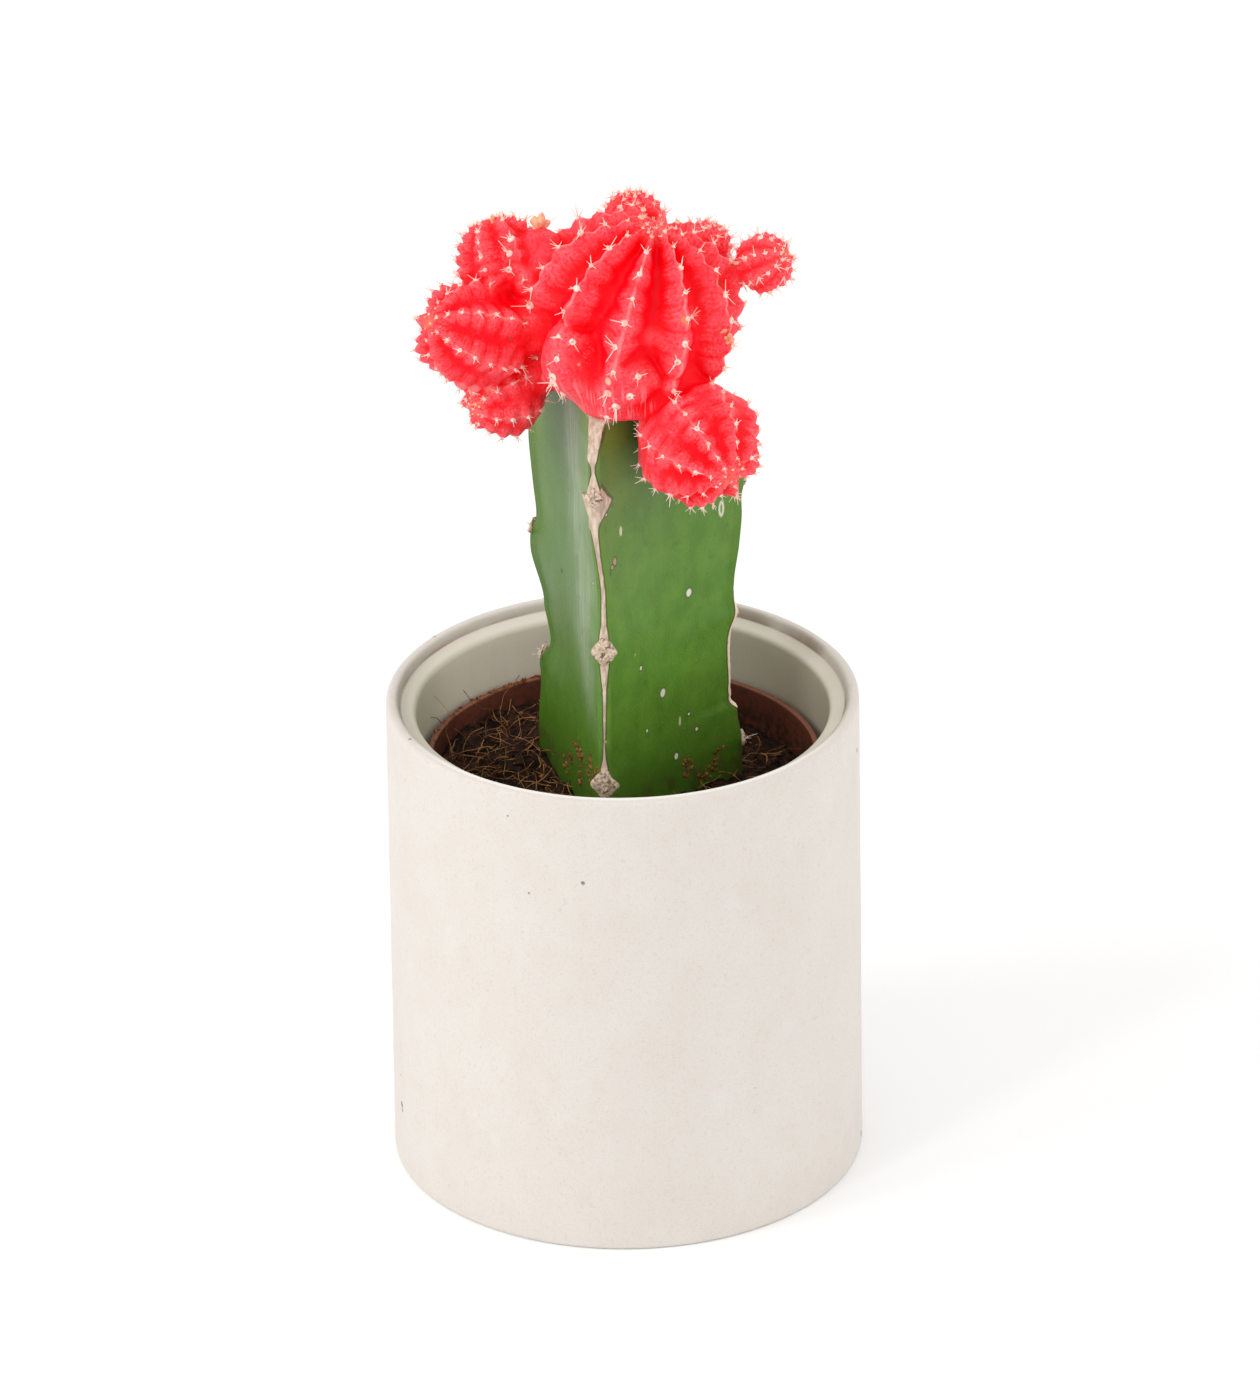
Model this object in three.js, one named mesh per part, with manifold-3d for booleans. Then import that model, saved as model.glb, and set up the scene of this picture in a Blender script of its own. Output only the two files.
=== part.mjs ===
// A grafted cactus in its pots. A red globe with offsets is grafted on a three-angled green stem.
// The stem stands in the soil of a thin nursery pot, and that pot stands in a cast concrete one.
//
// Millimetres, +Z up. The origin is the centre of the concrete pot's underside, and the front of
// the plant faces -Y.

import * as THREE from "three";
import { mergeVertices } from "three/addons/utils/BufferGeometryUtils.js";
import Module from "manifold-3d";

const wasm = await Module();
wasm.setup();

// ---------------------------------------------------------------- driving dimensions

const GAP = 0.3; // clearance where one piece rests on or in another

const POT = {
  height: 85.1,
  baseRadius: 40.4,
  topRadius: 40.0,
  edge: 0.9, // rounding of the outer edges
  lipInner: 36.9, // inner radius of the raised lip
  lipStep: 2.5, // drop from the lip to the ledge behind it
  boreTop: 34.9,
  boreBottom: 34.5,
  floor: 11.0,
  sides: 52,
};

const NURSERY = {
  height: 62.3,
  baseRadius: 24.0,
  shoulderRadius: 31.4, // outer radius just under the rim band
  rimRadius: 33.4,
  rimHeight: 9.0,
  wall: 1.0,
  sides: 40,
  drainHoles: 6,
  drainRadius: 2.6,
  drainCircle: 15.5,
};

const SOIL = {
  level: 68.2,
  tilt: 2.1, // rise towards the left, fall towards the right
  lump: 0.55,
  sides: 40,
};

const STEM = {
  axisX: 0.7,
  valley: 9.2, // distance from the axis to the middle of a concave face
  foot: 52.0,
  soilLine: 72.0, // below this level the stem is a plain prism
  top: 143.7,
  upperRow: 138.5, // rows of vertices are evenly spaced up to here
  marginWidth: 2.2,
  faceColumns: 7, // columns of vertices across one concave face
  rowPitch: 3.4,
  areoleRise: 0.7,
  areoleReach: 3.0,
};

// Each rib: its direction round the axis in degrees from the front towards +X, the outline of its
// margin as [height, radius], the heights of its areoles, the [height, radius] of the bevel that
// runs up to the graft, and the heights of the areoles that still carry spines.
const RIBS = [
  {
    azimuth: [[72, -11], [112, -10.5], [126, -14], [144, -14]],
    margin: [[72, 20.6], [104, 20.0], [122, 20.2], [139, 20.6]],
    areoles: [78.4, 102.8, 131.2],
    bevel: [138.5, 17.4],
    spiny: [],
  },
  {
    azimuth: [[72, 106], [144, 106]],
    margin: [[72, 20.2], [79.6, 19.6], [82, 18.5], [92, 18.4], [99, 19.7], [118, 20.9], [139, 20.6]],
    areoles: [73.4, 97.5, 122.0],
    bevel: [134.5, 12.5],
    spiny: [73.4],
  },
  {
    azimuth: [[72, -134], [144, -134]],
    margin: [[72, 20.2], [84, 19.4], [90, 17.0], [97, 18.5], [106, 21.3], [112, 19.8], [128, 21.5],
      [139, 21.2]],
    areoles: [86.0, 109.4, 134.0],
    bevel: [138.5, 17.4],
    spiny: [86.0, 109.4],
  },
];

// The scion: a main globe and the offsets that grew from its areoles. axis is the growing
// direction of each head, and a neck joins each offset to the globe.
const GRAFT_PLANE = STEM.top + GAP;

const GLOBE = {
  centre: [3.0, -3.0, 157.3], radius: 18.1, polar: 17.2, axis: [0.225, -0.067, 0.972], spin: -10.5,
  ribs: 10, columns: 4, depth: 0.17, bump: 0.03, first: 10.0, step: 15.0, spines: 2,
};

const OFFSETS = [
  // left middle, lying on its side and growing to the left
  { centre: [-24.0, -4.5, 154.0], radius: 9.3, polar: 9.7, axis: [-0.76, -0.44, 0.475], spin: 2.6,
    ribs: 7, columns: 4, depth: 0.17, bump: 0.05, first: 14.0, step: 19.0, spines: 1, neck: 5.0 },
  // upper left, growing up and a little back
  { centre: [-18.9, 4.0, 162.8], radius: 7.9, polar: 8.2, axis: [-0.28, 0.5, 0.82], spin: -13,
    ribs: 8, columns: 2, depth: 0.17, bump: 0.05, first: 14.0, step: 21.0, spines: 1, neck: 4.5 },
  // lower left, growing forward and down
  { centre: [-19.2, -2.0, 141.8], radius: 7.2, polar: 6.9, axis: [-0.78, -0.62, -0.07], spin: -14,
    ribs: 7, columns: 2, depth: 0.17, bump: 0.05, first: 14.0, step: 23.0, spines: 1, neck: 4.2 },
  // lower right, in front of the stem, growing forward
  { centre: [13.5, -16.2, 139.1], radius: 10.3, polar: 10.4, axis: [0.49, -0.85, -0.22], spin: 5,
    ribs: 8, columns: 3, depth: 0.16, bump: 0.05, first: 14.0, step: 18.5, spines: 1, neck: 5.5 },
  // small one on a visible neck at the right
  { centre: [24.2, 0.0, 164.5], radius: 4.6, polar: 4.8, axis: [0.75, -0.35, 0.5], spin: 0,
    ribs: 8, columns: 2, depth: 0.14, bump: 0.06, first: 16.0, step: 27.0, spines: 1, neck: 2.3 },
  // on top, just behind the growing point
  { centre: [2.8, 8.0, 168.4], radius: 5.4, polar: 5.4, axis: [0.0, 0.1, 1.0], spin: 14,
    ribs: 8, columns: 2, depth: 0.15, bump: 0.07, first: 16.0, step: 25.0, spines: 1, neck: 3.0 },
  // right shoulder
  { centre: [14.7, 6.5, 164.2], radius: 4.6, polar: 4.7, axis: [0.5, 0.1, 0.85], spin: 5,
    ribs: 8, columns: 2, depth: 0.15, bump: 0.07, first: 16.0, step: 27.0, spines: 1, neck: 2.6 },
];

// Smooth swellings under the globe: the broad foot on the graft and its forward end over the front
// rib, and the ends of the lowest front ribs, where new offsets are forming.
const SWELLINGS = [
  { centre: [2.2, -1.5, 150.4], radius: 14.8, height: 12.4, around: 20, down: 12 },
  { centre: [1.0, -9.6, 150.5], radius: 9.4, height: 12.5, around: 16, down: 12 },
  { centre: [-7.4, -13.4, 154.2], radius: 5.6, height: 5.8, around: 10, down: 7 },
  { centre: [1.3, -14.5, 150.9], radius: 5.6, height: 6.2, around: 10, down: 7 },
];

const SPINE = {
  length: 2.1,
  root: 0.2,
  sunk: 1.1,
  spread: 0.85,
  standoff: 0.45, // how far the root stands from the middle of its areole
  clearance: 0.8, // kept free round the stem
};

const FINISH = {
  concrete_pot: { color: 0xe4dcd2, roughness: 0.85, metalness: 0 },
  nursery_pot: { color: 0x7a3a26, roughness: 0.5, metalness: 0 },
  soil: { color: 0x2b1a12, roughness: 1, metalness: 0 },
  rootstock: { color: 0x447a2a, roughness: 0.5, metalness: 0 },
  scion: { color: 0xf23a46, roughness: 0.5, metalness: 0 },
};

// ---------------------------------------------------------------- small helpers

const radians = THREE.MathUtils.degToRad;

// Repeatable random numbers from 0 to 1.
function seeded(seed) {
  let state = seed;
  return () => {
    state = (state * 1664525 + 1013904223) % 4294967296;
    return state / 4294967296;
  };
}

// Value at x of a smooth line through [x, value] points, flat at each point.
function smoothLine(points, x) {
  if (x <= points[0][0]) return points[0][1];
  for (let i = 1; i < points.length; i += 1) {
    const [x0, y0] = points[i - 1];
    const [x1, y1] = points[i];
    if (x <= x1) {
      const t = (x - x0) / (x1 - x0);
      return y0 + (y1 - y0) * t * t * (3 - 2 * t);
    }
  }
  return points[points.length - 1][1];
}

// A direction round an upright axis, in degrees from the front (-Y) towards +X.
function heading(degrees) {
  return new THREE.Vector3(Math.sin(radians(degrees)), -Math.cos(radians(degrees)), 0);
}

// A closed skin over rings of equally many points, with a point at each end. The rings run from
// the first end to the last, and their points turn to the left about that direction.
function skinRings(firstPole, rings, lastPole) {
  const count = rings[0].length;
  const points = [firstPole, ...rings.flat(), lastPole];
  const last = points.length - 1;
  const index = [];
  for (let c = 0; c < count; c += 1) {
    const next = (c + 1) % count;
    index.push(0, 1 + next, 1 + c);
    for (let r = 0; r < rings.length - 1; r += 1) {
      const a = 1 + r * count;
      const b = a + count;
      index.push(a + c, a + next, b + next, a + c, b + next, b + c);
    }
    const end = 1 + (rings.length - 1) * count;
    index.push(end + c, end + next, last);
  }
  const geometry = new THREE.BufferGeometry().setFromPoints(points);
  geometry.setIndex(index);
  return geometry;
}

// A profile of [radius, height] points turned about Z. It starts and ends on the axis.
function turned(profile, sides) {
  const outline = profile.map(([radius, height]) => new THREE.Vector2(radius, height));
  return new THREE.LatheGeometry(outline, sides).rotateX(Math.PI / 2);
}

function toSolid(geometry) {
  const bare = geometry.clone();
  bare.deleteAttribute("normal");
  bare.deleteAttribute("uv");
  const merged = mergeVertices(bare, 1e-4);
  return new wasm.Manifold(new wasm.Mesh({
    numProp: 3,
    vertProperties: Float32Array.from(merged.attributes.position.array),
    triVerts: Uint32Array.from(merged.index.array),
  }));
}

function toGeometry(solid) {
  const mesh = solid.getMesh();
  const geometry = new THREE.BufferGeometry();
  geometry.setAttribute("position", new THREE.BufferAttribute(mesh.vertProperties, 3));
  geometry.setIndex(new THREE.BufferAttribute(mesh.triVerts, 1));
  geometry.computeVertexNormals();
  return geometry;
}

function piece(name, geometry) {
  const mesh = new THREE.Mesh(geometry, new THREE.MeshStandardMaterial(FINISH[name]));
  mesh.name = name;
  return mesh;
}

// ---------------------------------------------------------------- concrete pot

function concretePot() {
  const p = POT;
  const top = p.height;
  const ledge = top - p.lipStep;
  return turned([
    [0, 0],
    [p.baseRadius - p.edge, 0],
    [p.baseRadius, p.edge],
    [p.topRadius, top - p.edge],
    [p.topRadius - 0.3 * p.edge, top - 0.3 * p.edge],
    [p.topRadius - p.edge, top],
    [p.lipInner + p.edge, top],
    [p.lipInner + 0.2 * p.edge, top - 0.4 * p.edge],
    [p.lipInner - 0.2, ledge],
    [p.boreTop + p.edge, ledge - 0.2],
    [p.boreTop + 0.1, ledge - p.edge],
    [p.boreTop, ledge - 2 * p.edge],
    [p.boreBottom, p.floor + 2],
    [p.boreBottom - 2, p.floor],
    [0, p.floor],
  ], p.sides);
}

// ---------------------------------------------------------------- nursery pot

const NURSERY_BASE = POT.floor + GAP;
const NURSERY_TOP = NURSERY_BASE + NURSERY.height;
const RIM_BOTTOM = NURSERY_TOP - NURSERY.rimHeight;

// The inner wall from the floor to the rim as [radius, height].
const NURSERY_INNER = [
  [NURSERY.baseRadius - NURSERY.wall - 0.6, NURSERY_BASE + NURSERY.wall],
  [NURSERY.baseRadius - NURSERY.wall, NURSERY_BASE + NURSERY.wall + 0.6],
  [NURSERY.shoulderRadius - NURSERY.wall, RIM_BOTTOM + 0.3],
  [NURSERY.rimRadius - 0.4 - NURSERY.wall, RIM_BOTTOM + 1.3],
  [NURSERY.rimRadius - NURSERY.wall, NURSERY_TOP - 0.4],
];

function nurseryPot() {
  const n = NURSERY;
  const shell = toSolid(turned([
    [0, NURSERY_BASE],
    [n.baseRadius - 0.8, NURSERY_BASE],
    [n.baseRadius, NURSERY_BASE + 0.8],
    [n.shoulderRadius, RIM_BOTTOM - 0.2],
    [n.rimRadius - 0.4, RIM_BOTTOM + 0.4],
    [n.rimRadius, NURSERY_TOP - 0.3],
    [n.rimRadius - 0.3, NURSERY_TOP],
    [n.rimRadius - n.wall + 0.3, NURSERY_TOP],
    ...[...NURSERY_INNER].reverse(),
    [0, NURSERY_BASE + n.wall],
  ], n.sides));
  const drill = new THREE.CylinderGeometry(n.drainRadius, n.drainRadius, 4 * n.wall, 10);
  drill.rotateX(Math.PI / 2);
  let pot = shell;
  for (let i = 0; i < n.drainHoles; i += 1) {
    const place = heading((360 * i) / n.drainHoles).multiplyScalar(n.drainCircle);
    const hole = drill.clone().translate(place.x, place.y, NURSERY_BASE);
    pot = pot.subtract(toSolid(hole));
  }
  return toGeometry(pot);
}

// ---------------------------------------------------------------- rootstock

function areoleRise(rib, height) {
  let rise = 0;
  for (const areole of rib.areoles) {
    const away = Math.abs(height - areole) / STEM.areoleReach;
    if (away < 1) rise = Math.max(rise, STEM.areoleRise * (1 - away));
  }
  return rise;
}

function ribRadius(rib, height) {
  const level = Math.max(height, STEM.soilLine);
  const radius = smoothLine(rib.margin, level) + (height > STEM.soilLine ? areoleRise(rib, level) : 0);
  const [start, end] = rib.bevel;
  const bevel = (height - start) / (STEM.top - start);
  return bevel > 0 ? radius + (end - radius) * bevel : radius;
}

// One level of the stem as a ring of points: each rib has a blunt margin of three columns, and
// each face between two ribs is a concave curve. grow widens it, for the hole in the soil.
function stemRing(height, grow = 0) {
  const ring = [];
  const level = Math.max(height, STEM.soilLine);
  RIBS.forEach((rib, i) => {
    const nextRib = RIBS[(i + 1) % RIBS.length];
    const here = smoothLine(rib.azimuth, level);
    let span = smoothLine(nextRib.azimuth, level) - here;
    if (span < 0) span += 360;
    const radius = ribRadius(rib, height) + grow;
    const nextRadius = ribRadius(nextRib, height) + grow;
    const valley = STEM.valley + grow;
    const half = THREE.MathUtils.radToDeg((0.5 * STEM.marginWidth + grow) / radius);
    const at = (turn, reach) => {
      const point = heading(here + turn).multiplyScalar(reach);
      ring.push(point.add(new THREE.Vector3(STEM.axisX, 0, height)));
    };
    at(0, radius);
    at(half, radius * 0.985);
    for (let c = 1; c <= STEM.faceColumns; c += 1) {
      const across = (2 * c) / (STEM.faceColumns + 1) - 1; // -1 and 1 are the two margins
      const end = across < 0 ? radius : nextRadius;
      const power = Math.log2(end / valley);
      const turn = half + ((across + 1) / 2) * (span - 2 * half);
      at(turn, valley / Math.cos(radians(58 * Math.abs(across))) ** power);
    }
    at(span - half, nextRadius * 0.985);
  });
  return ring;
}

// Rows are close enough to catch every areole and tooth of the margins.
function stemLevels() {
  const levels = [STEM.foot, STEM.soilLine - 6];
  const rows = Math.round((STEM.upperRow - STEM.soilLine) / STEM.rowPitch);
  for (let r = 0; r <= rows; r += 1) {
    levels.push(STEM.soilLine + ((STEM.upperRow - STEM.soilLine) * r) / rows);
  }
  levels.push(0.5 * (STEM.upperRow + STEM.top), STEM.top);
  return levels;
}

function upright(levels, grow) {
  const axisPoint = (height) => new THREE.Vector3(STEM.axisX, 0, height);
  const rings = levels.map((height) => stemRing(height, grow));
  return skinRings(axisPoint(levels[0]), rings, axisPoint(levels[levels.length - 1]));
}

function rootstock() {
  const parts = [toSolid(upright(stemLevels(), 0))];
  for (const rib of RIBS) {
    for (const height of rib.spiny) {
      const out = heading(smoothLine(rib.azimuth, height));
      const seat = out.clone().multiplyScalar(ribRadius(rib, height));
      seat.add(new THREE.Vector3(STEM.axisX, 0, height));
      for (let s = -1; s <= 1; s += 1) {
        const lean = new THREE.Vector3(-out.y, out.x, 0).multiplyScalar(s);
        const aim = out.clone().addScaledVector(lean, 0.8);
        aim.z = s === 0 ? 0.7 : -0.3;
        parts.push(needle(seat, aim.normalize(), 0.8 * SPINE.length));
      }
    }
  }
  return toGeometry(wasm.Manifold.union(parts));
}

// ---------------------------------------------------------------- soil

function soilHeight(x, y) {
  const fall = (SOIL.tilt * -x) / NURSERY.rimRadius;
  const lumps = Math.sin(0.41 * x + 0.9) * Math.cos(0.37 * y) + 0.6 * Math.sin(0.83 * y + 0.5 * x);
  return SOIL.level + fall + SOIL.lump * lumps;
}

// Inner radius of the nursery pot at a height.
function nurseryInnerRadius(height) {
  for (let i = 1; i < NURSERY_INNER.length; i += 1) {
    const [r0, z0] = NURSERY_INNER[i - 1];
    const [r1, z1] = NURSERY_INNER[i];
    if (height <= z1) return r0 + ((r1 - r0) * (height - z0)) / (z1 - z0);
  }
  return NURSERY_INNER[NURSERY_INNER.length - 1][0];
}

function soil() {
  const bottom = NURSERY_INNER[0][1] + GAP;
  const shoulder = NURSERY_INNER[2][1];
  const ringOf = (radiusAt, heightAt) => {
    const ring = [];
    for (let i = 0; i < SOIL.sides; i += 1) {
      const way = heading((360 * i) / SOIL.sides);
      const edge = way.clone().multiplyScalar(radiusAt(way));
      ring.push(edge.setZ(heightAt(edge)));
    }
    return ring;
  };
  const side = (height, inset) => ringOf(() => nurseryInnerRadius(height) - inset, () => height);
  const rings = [
    side(bottom, 2 * GAP),
    side(bottom + 1, 2 * GAP),
    side(shoulder, 2 * GAP),
    side(shoulder + 1.2, 1.6 * GAP),
  ];
  const rim = nurseryInnerRadius(SOIL.level - SOIL.tilt) - GAP;
  for (const share of [1, 0.86, 0.72, 0.58, 0.4, 0.2]) {
    rings.push(ringOf(() => rim * share, (at) => soilHeight(at.x, at.y)));
  }
  const top = new THREE.Vector3(0, 0, soilHeight(0, 0));
  const block = toSolid(skinRings(new THREE.Vector3(0, 0, bottom), rings, top));
  const hole = upright([STEM.foot - GAP, STEM.soilLine], GAP);
  return toGeometry(block.subtract(toSolid(hole)));
}

// ---------------------------------------------------------------- scion

// The frame of a head: its growing axis, and two directions across it.
function headFrame(head) {
  const up = new THREE.Vector3(...head.axis).normalize();
  const right = new THREE.Vector3(0, 1, 0).cross(up).normalize();
  const back = up.clone().cross(right);
  return { up, right, back, centre: new THREE.Vector3(...head.centre) };
}

// Angle from the growing point of a place along a rib, counted in areoles. The areoles stand
// closer together at the growing point.
function areoleAngle(head, count) {
  const crowd = 1.5;
  const squeeze = (head.step / 3) * crowd * (1 - Math.exp(-count / crowd));
  return head.first + head.step * count - squeeze;
}

// Areoles of neighbouring ribs are half a step apart.
function ribShift(rib) {
  return rib % 2 === 0 ? 0.5 : 0;
}

// A point of a head's skin: turn counts ribs, count runs along the rib in areoles.
function headPoint(head, frame, turn, count) {
  const angle = Math.min(areoleAngle(head, count), 180);
  const rib = Math.round(turn);
  const flank = Math.abs(turn - rib) * 2; // 0 on the crest, 1 in the groove
  const groove = head.depth * flank ** 1.2;
  const swell = head.bump * Math.cos(2 * Math.PI * (count - ribShift(rib))) * (1 - flank);
  const full = 1 - groove + swell;
  const around = radians(head.spin + (360 * turn) / head.ribs);
  const out = Math.sin(radians(angle)) * head.radius * full;
  const along = Math.cos(radians(angle)) * head.polar * (1 + swell);
  return frame.centre.clone()
    .addScaledVector(frame.right, out * Math.sin(around))
    .addScaledVector(frame.back, -out * Math.cos(around))
    .addScaledVector(frame.up, along);
}

// How many areoles fit from the growing point to the far end of a rib.
function ribLength(head) {
  let count = 0;
  while (areoleAngle(head, count + 0.5) < 172) count += 0.5;
  return count;
}

function headSkin(head) {
  const frame = headFrame(head);
  const rings = [];
  const columns = head.ribs * head.columns;
  for (let count = 0; count <= ribLength(head); count += 0.5) {
    const ring = [];
    for (let c = 0; c < columns; c += 1) ring.push(headPoint(head, frame, c / head.columns, count));
    rings.push(ring);
  }
  const crown = frame.centre.clone().addScaledVector(frame.up, head.polar * 0.95);
  const tail = frame.centre.clone().addScaledVector(frame.up, -head.polar);
  return toSolid(skinRings(tail, rings.reverse(), crown));
}

// A needle of three faces, its root sunk below the skin.
function needle(seat, aim, length) {
  const side = new THREE.Vector3(0.3, 0.5, 0.8).cross(aim).normalize();
  const other = aim.clone().cross(side);
  const foot = seat.clone().addScaledVector(aim, -SPINE.sunk);
  const corners = [0, 1, 2].map((i) => {
    const around = (2 * Math.PI * i) / 3;
    return foot.clone()
      .addScaledVector(side, SPINE.root * Math.cos(around))
      .addScaledVector(other, SPINE.root * Math.sin(around));
  });
  const tip = seat.clone().addScaledVector(aim, length);
  const geometry = new THREE.BufferGeometry().setFromPoints([...corners, tip]);
  geometry.setIndex([0, 2, 1, 0, 1, 3, 1, 2, 3, 2, 0, 3]);
  return toSolid(geometry);
}

// True where a point lies in or near a head.
function insideHead(head, point, margin) {
  const frame = headFrame(head);
  const away = point.clone().sub(frame.centre);
  const along = away.dot(frame.up) / (head.polar + margin);
  const across = away.clone().addScaledVector(frame.up, -away.dot(frame.up));
  return Math.hypot(along, across.length() / (head.radius + margin)) < 1;
}

// True where a point keeps clear of the stem, by an even-odd count across the stem's section.
function clearOfStem(point) {
  if (point.z > STEM.top + SPINE.clearance) return true;
  const ring = stemRing(Math.min(point.z, STEM.top), SPINE.clearance);
  let inside = false;
  ring.forEach((a, i) => {
    const b = ring[(i + 1) % ring.length];
    const crossesLevel = a.y > point.y !== b.y > point.y;
    const crossing = a.x + ((b.x - a.x) * (point.y - a.y)) / (b.y - a.y);
    if (crossesLevel && point.x < crossing) inside = !inside;
  });
  return !inside;
}

function headSpines(head, heads, random) {
  const frame = headFrame(head);
  const needles = [];
  for (let rib = 0; rib < head.ribs; rib += 1) {
    for (let count = ribShift(rib); count < ribLength(head); count += 1) {
      const areole = headPoint(head, frame, rib, count);
      const hidden = heads.some((other) => other !== head && insideHead(other, areole, 0.8));
      if (hidden || areole.z < GRAFT_PLANE + 1) continue;
      const normal = areole.clone().sub(frame.centre).normalize();
      const along = headPoint(head, frame, rib, count + 0.2).sub(areole).normalize();
      const across = normal.clone().cross(along);
      for (let s = 0; s < head.spines; s += 1) {
        const side = head.spines === 1 ? (count + rib) % 2 < 1 : s === 0;
        const lean = across.clone().multiplyScalar(side ? 1 : -1);
        lean.addScaledVector(along, random() - 0.4);
        const seat = areole.clone().addScaledVector(lean, SPINE.standoff);
        seat.addScaledVector(normal, -0.5 * SPINE.standoff);
        const aim = normal.clone().addScaledVector(lean, SPINE.spread).normalize();
        const length = SPINE.length * (0.75 + 0.4 * random());
        if (clearOfStem(seat.clone().addScaledVector(aim, length))) {
          needles.push(needle(seat, aim, length));
        }
      }
    }
  }
  return needles;
}

// A short waisted stalk from the globe's flesh into an offset.
function neckSkin(head) {
  const from = new THREE.Vector3(...GLOBE.centre);
  const to = new THREE.Vector3(...head.centre);
  const way = to.clone().sub(from);
  const length = way.length() - 0.6 * GLOBE.radius;
  const geometry = new THREE.CylinderGeometry(head.neck, head.neck, length, 10, 1);
  const turn = new THREE.Quaternion().setFromUnitVectors(new THREE.Vector3(0, 1, 0),
    way.clone().normalize());
  geometry.applyQuaternion(turn);
  const middle = to.addScaledVector(way.normalize(), -0.5 * length);
  geometry.translate(middle.x, middle.y, middle.z);
  return toSolid(geometry);
}

function swellingSkin(swelling) {
  const geometry = new THREE.SphereGeometry(swelling.radius, swelling.around, swelling.down);
  geometry.rotateX(Math.PI / 2).scale(1, 1, swelling.height / swelling.radius);
  return toSolid(geometry.translate(...swelling.centre));
}

// The globe and its swellings end flat on the graft plane. The offsets hang beside the stem, and
// the skin of the stem, grown by the gap, is cut from whatever comes near it.
function scion() {
  const heads = [GLOBE, ...OFFSETS];
  const random = seeded(7);
  const crown = wasm.Manifold.union([headSkin(GLOBE), ...SWELLINGS.map(swellingSkin)]);
  const slab = new THREE.BoxGeometry(60, 60, 30).translate(0, 0, GRAFT_PLANE - 15);
  const spines = heads.flatMap((head) => headSpines(head, heads, random));
  const body = wasm.Manifold.union([
    crown.subtract(toSolid(slab)),
    ...OFFSETS.map(headSkin),
    ...OFFSETS.map(neckSkin),
    ...spines,
  ]);
  return toGeometry(body.subtract(toSolid(upright(stemLevels(), GAP))));
}

// ---------------------------------------------------------------- the whole plant

const plant = new THREE.Group();
plant.add(
  piece("concrete_pot", concretePot()),
  piece("nursery_pot", nurseryPot()),
  piece("soil", soil()),
  piece("rootstock", rootstock()),
  piece("scion", scion()),
);

export default plant;
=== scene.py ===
# %% [markdown]
# # A grafted moon cactus in its pots
#
# This lesson builds the looks of a small potted plant round a frame that is already measured: a
# red globe with offsets, grafted on a three-angled green stem, in the soil of a thin brown nursery
# pot that stands inside a smooth concrete one.
#
# The frame gives every piece its place. Blender gives it its fine shape and its finish. Each step
# says what the piece is on the real plant, how it could be made, and why this way was chosen.
# All sizes are written in millimetres and turned into metres by `MM`.

# %% Load the frame
import math

import bpy
import numpy as np
from mathutils import Matrix, Vector
from mathutils.bvhtree import BVHTree
from mathutils.kdtree import KDTree


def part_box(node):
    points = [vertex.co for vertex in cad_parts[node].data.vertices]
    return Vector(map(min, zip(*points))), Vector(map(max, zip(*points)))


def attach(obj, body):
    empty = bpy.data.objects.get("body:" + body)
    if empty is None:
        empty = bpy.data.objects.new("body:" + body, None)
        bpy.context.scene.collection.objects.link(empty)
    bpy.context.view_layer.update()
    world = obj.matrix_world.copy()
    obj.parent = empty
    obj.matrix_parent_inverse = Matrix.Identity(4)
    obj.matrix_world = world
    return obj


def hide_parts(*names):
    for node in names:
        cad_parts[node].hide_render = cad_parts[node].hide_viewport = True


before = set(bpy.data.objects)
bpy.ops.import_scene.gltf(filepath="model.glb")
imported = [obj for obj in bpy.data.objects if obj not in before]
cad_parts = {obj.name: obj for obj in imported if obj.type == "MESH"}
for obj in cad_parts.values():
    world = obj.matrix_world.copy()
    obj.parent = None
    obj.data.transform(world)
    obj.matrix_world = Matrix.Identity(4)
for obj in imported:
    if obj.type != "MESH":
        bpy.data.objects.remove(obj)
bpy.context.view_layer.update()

MM = 0.001
SEED = 11
NODES = ("concrete_pot", "nursery_pot", "soil", "rootstock", "scion")
for name in NODES:
    low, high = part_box(name)
    print(f"{name}: {(high.x - low.x) / MM:.1f} x {(high.y - low.y) / MM:.1f} mm, "
          f"from {low.z / MM:.1f} up to {high.z / MM:.1f} mm")


def top_of(node):
    """Height of a node's highest point, in millimetres."""
    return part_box(node)[1].z / MM


def foot_of(node):
    """Height of a node's lowest point, in millimetres."""
    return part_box(node)[0].z / MM


def reach_of(node):
    """Largest distance of a round node's wall from the pot's axis, in millimetres."""
    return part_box(node)[1].x / MM


# %% [markdown]
# ## The camera
#
# The photograph was taken with a long lens from a little above the rim. A fit of the pot's
# ellipses gives the place of the camera, its tilt and its focal length in pixels of the 1260 x
# 1386 picture. Blender measures a lens on a 36 mm sensor along the longer side, so the focal
# length turns into millimetres by one division.

# %% Place the camera
PICTURE_HEIGHT_PX = 1386
FOCAL_PX = 9288.7
CAMERA_AWAY = 1400.17
CAMERA_UP = 789.83
CAMERA_YAW = 0.0009
CAMERA_PITCH = 0.4663
CAMERA_ROLL = -0.0139
SENSOR_MM = 36.0


def camera_axes():
    """Right, up and backward directions of the camera."""
    ahead = Vector((math.sin(CAMERA_YAW) * math.cos(CAMERA_PITCH),
                    math.cos(CAMERA_YAW) * math.cos(CAMERA_PITCH), -math.sin(CAMERA_PITCH)))
    level = Vector((math.cos(CAMERA_YAW), -math.sin(CAMERA_YAW), 0.0))
    upward = level.cross(ahead)
    right = math.cos(CAMERA_ROLL) * level + math.sin(CAMERA_ROLL) * upward
    up = math.cos(CAMERA_ROLL) * upward - math.sin(CAMERA_ROLL) * level
    return right, up, -ahead


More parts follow.
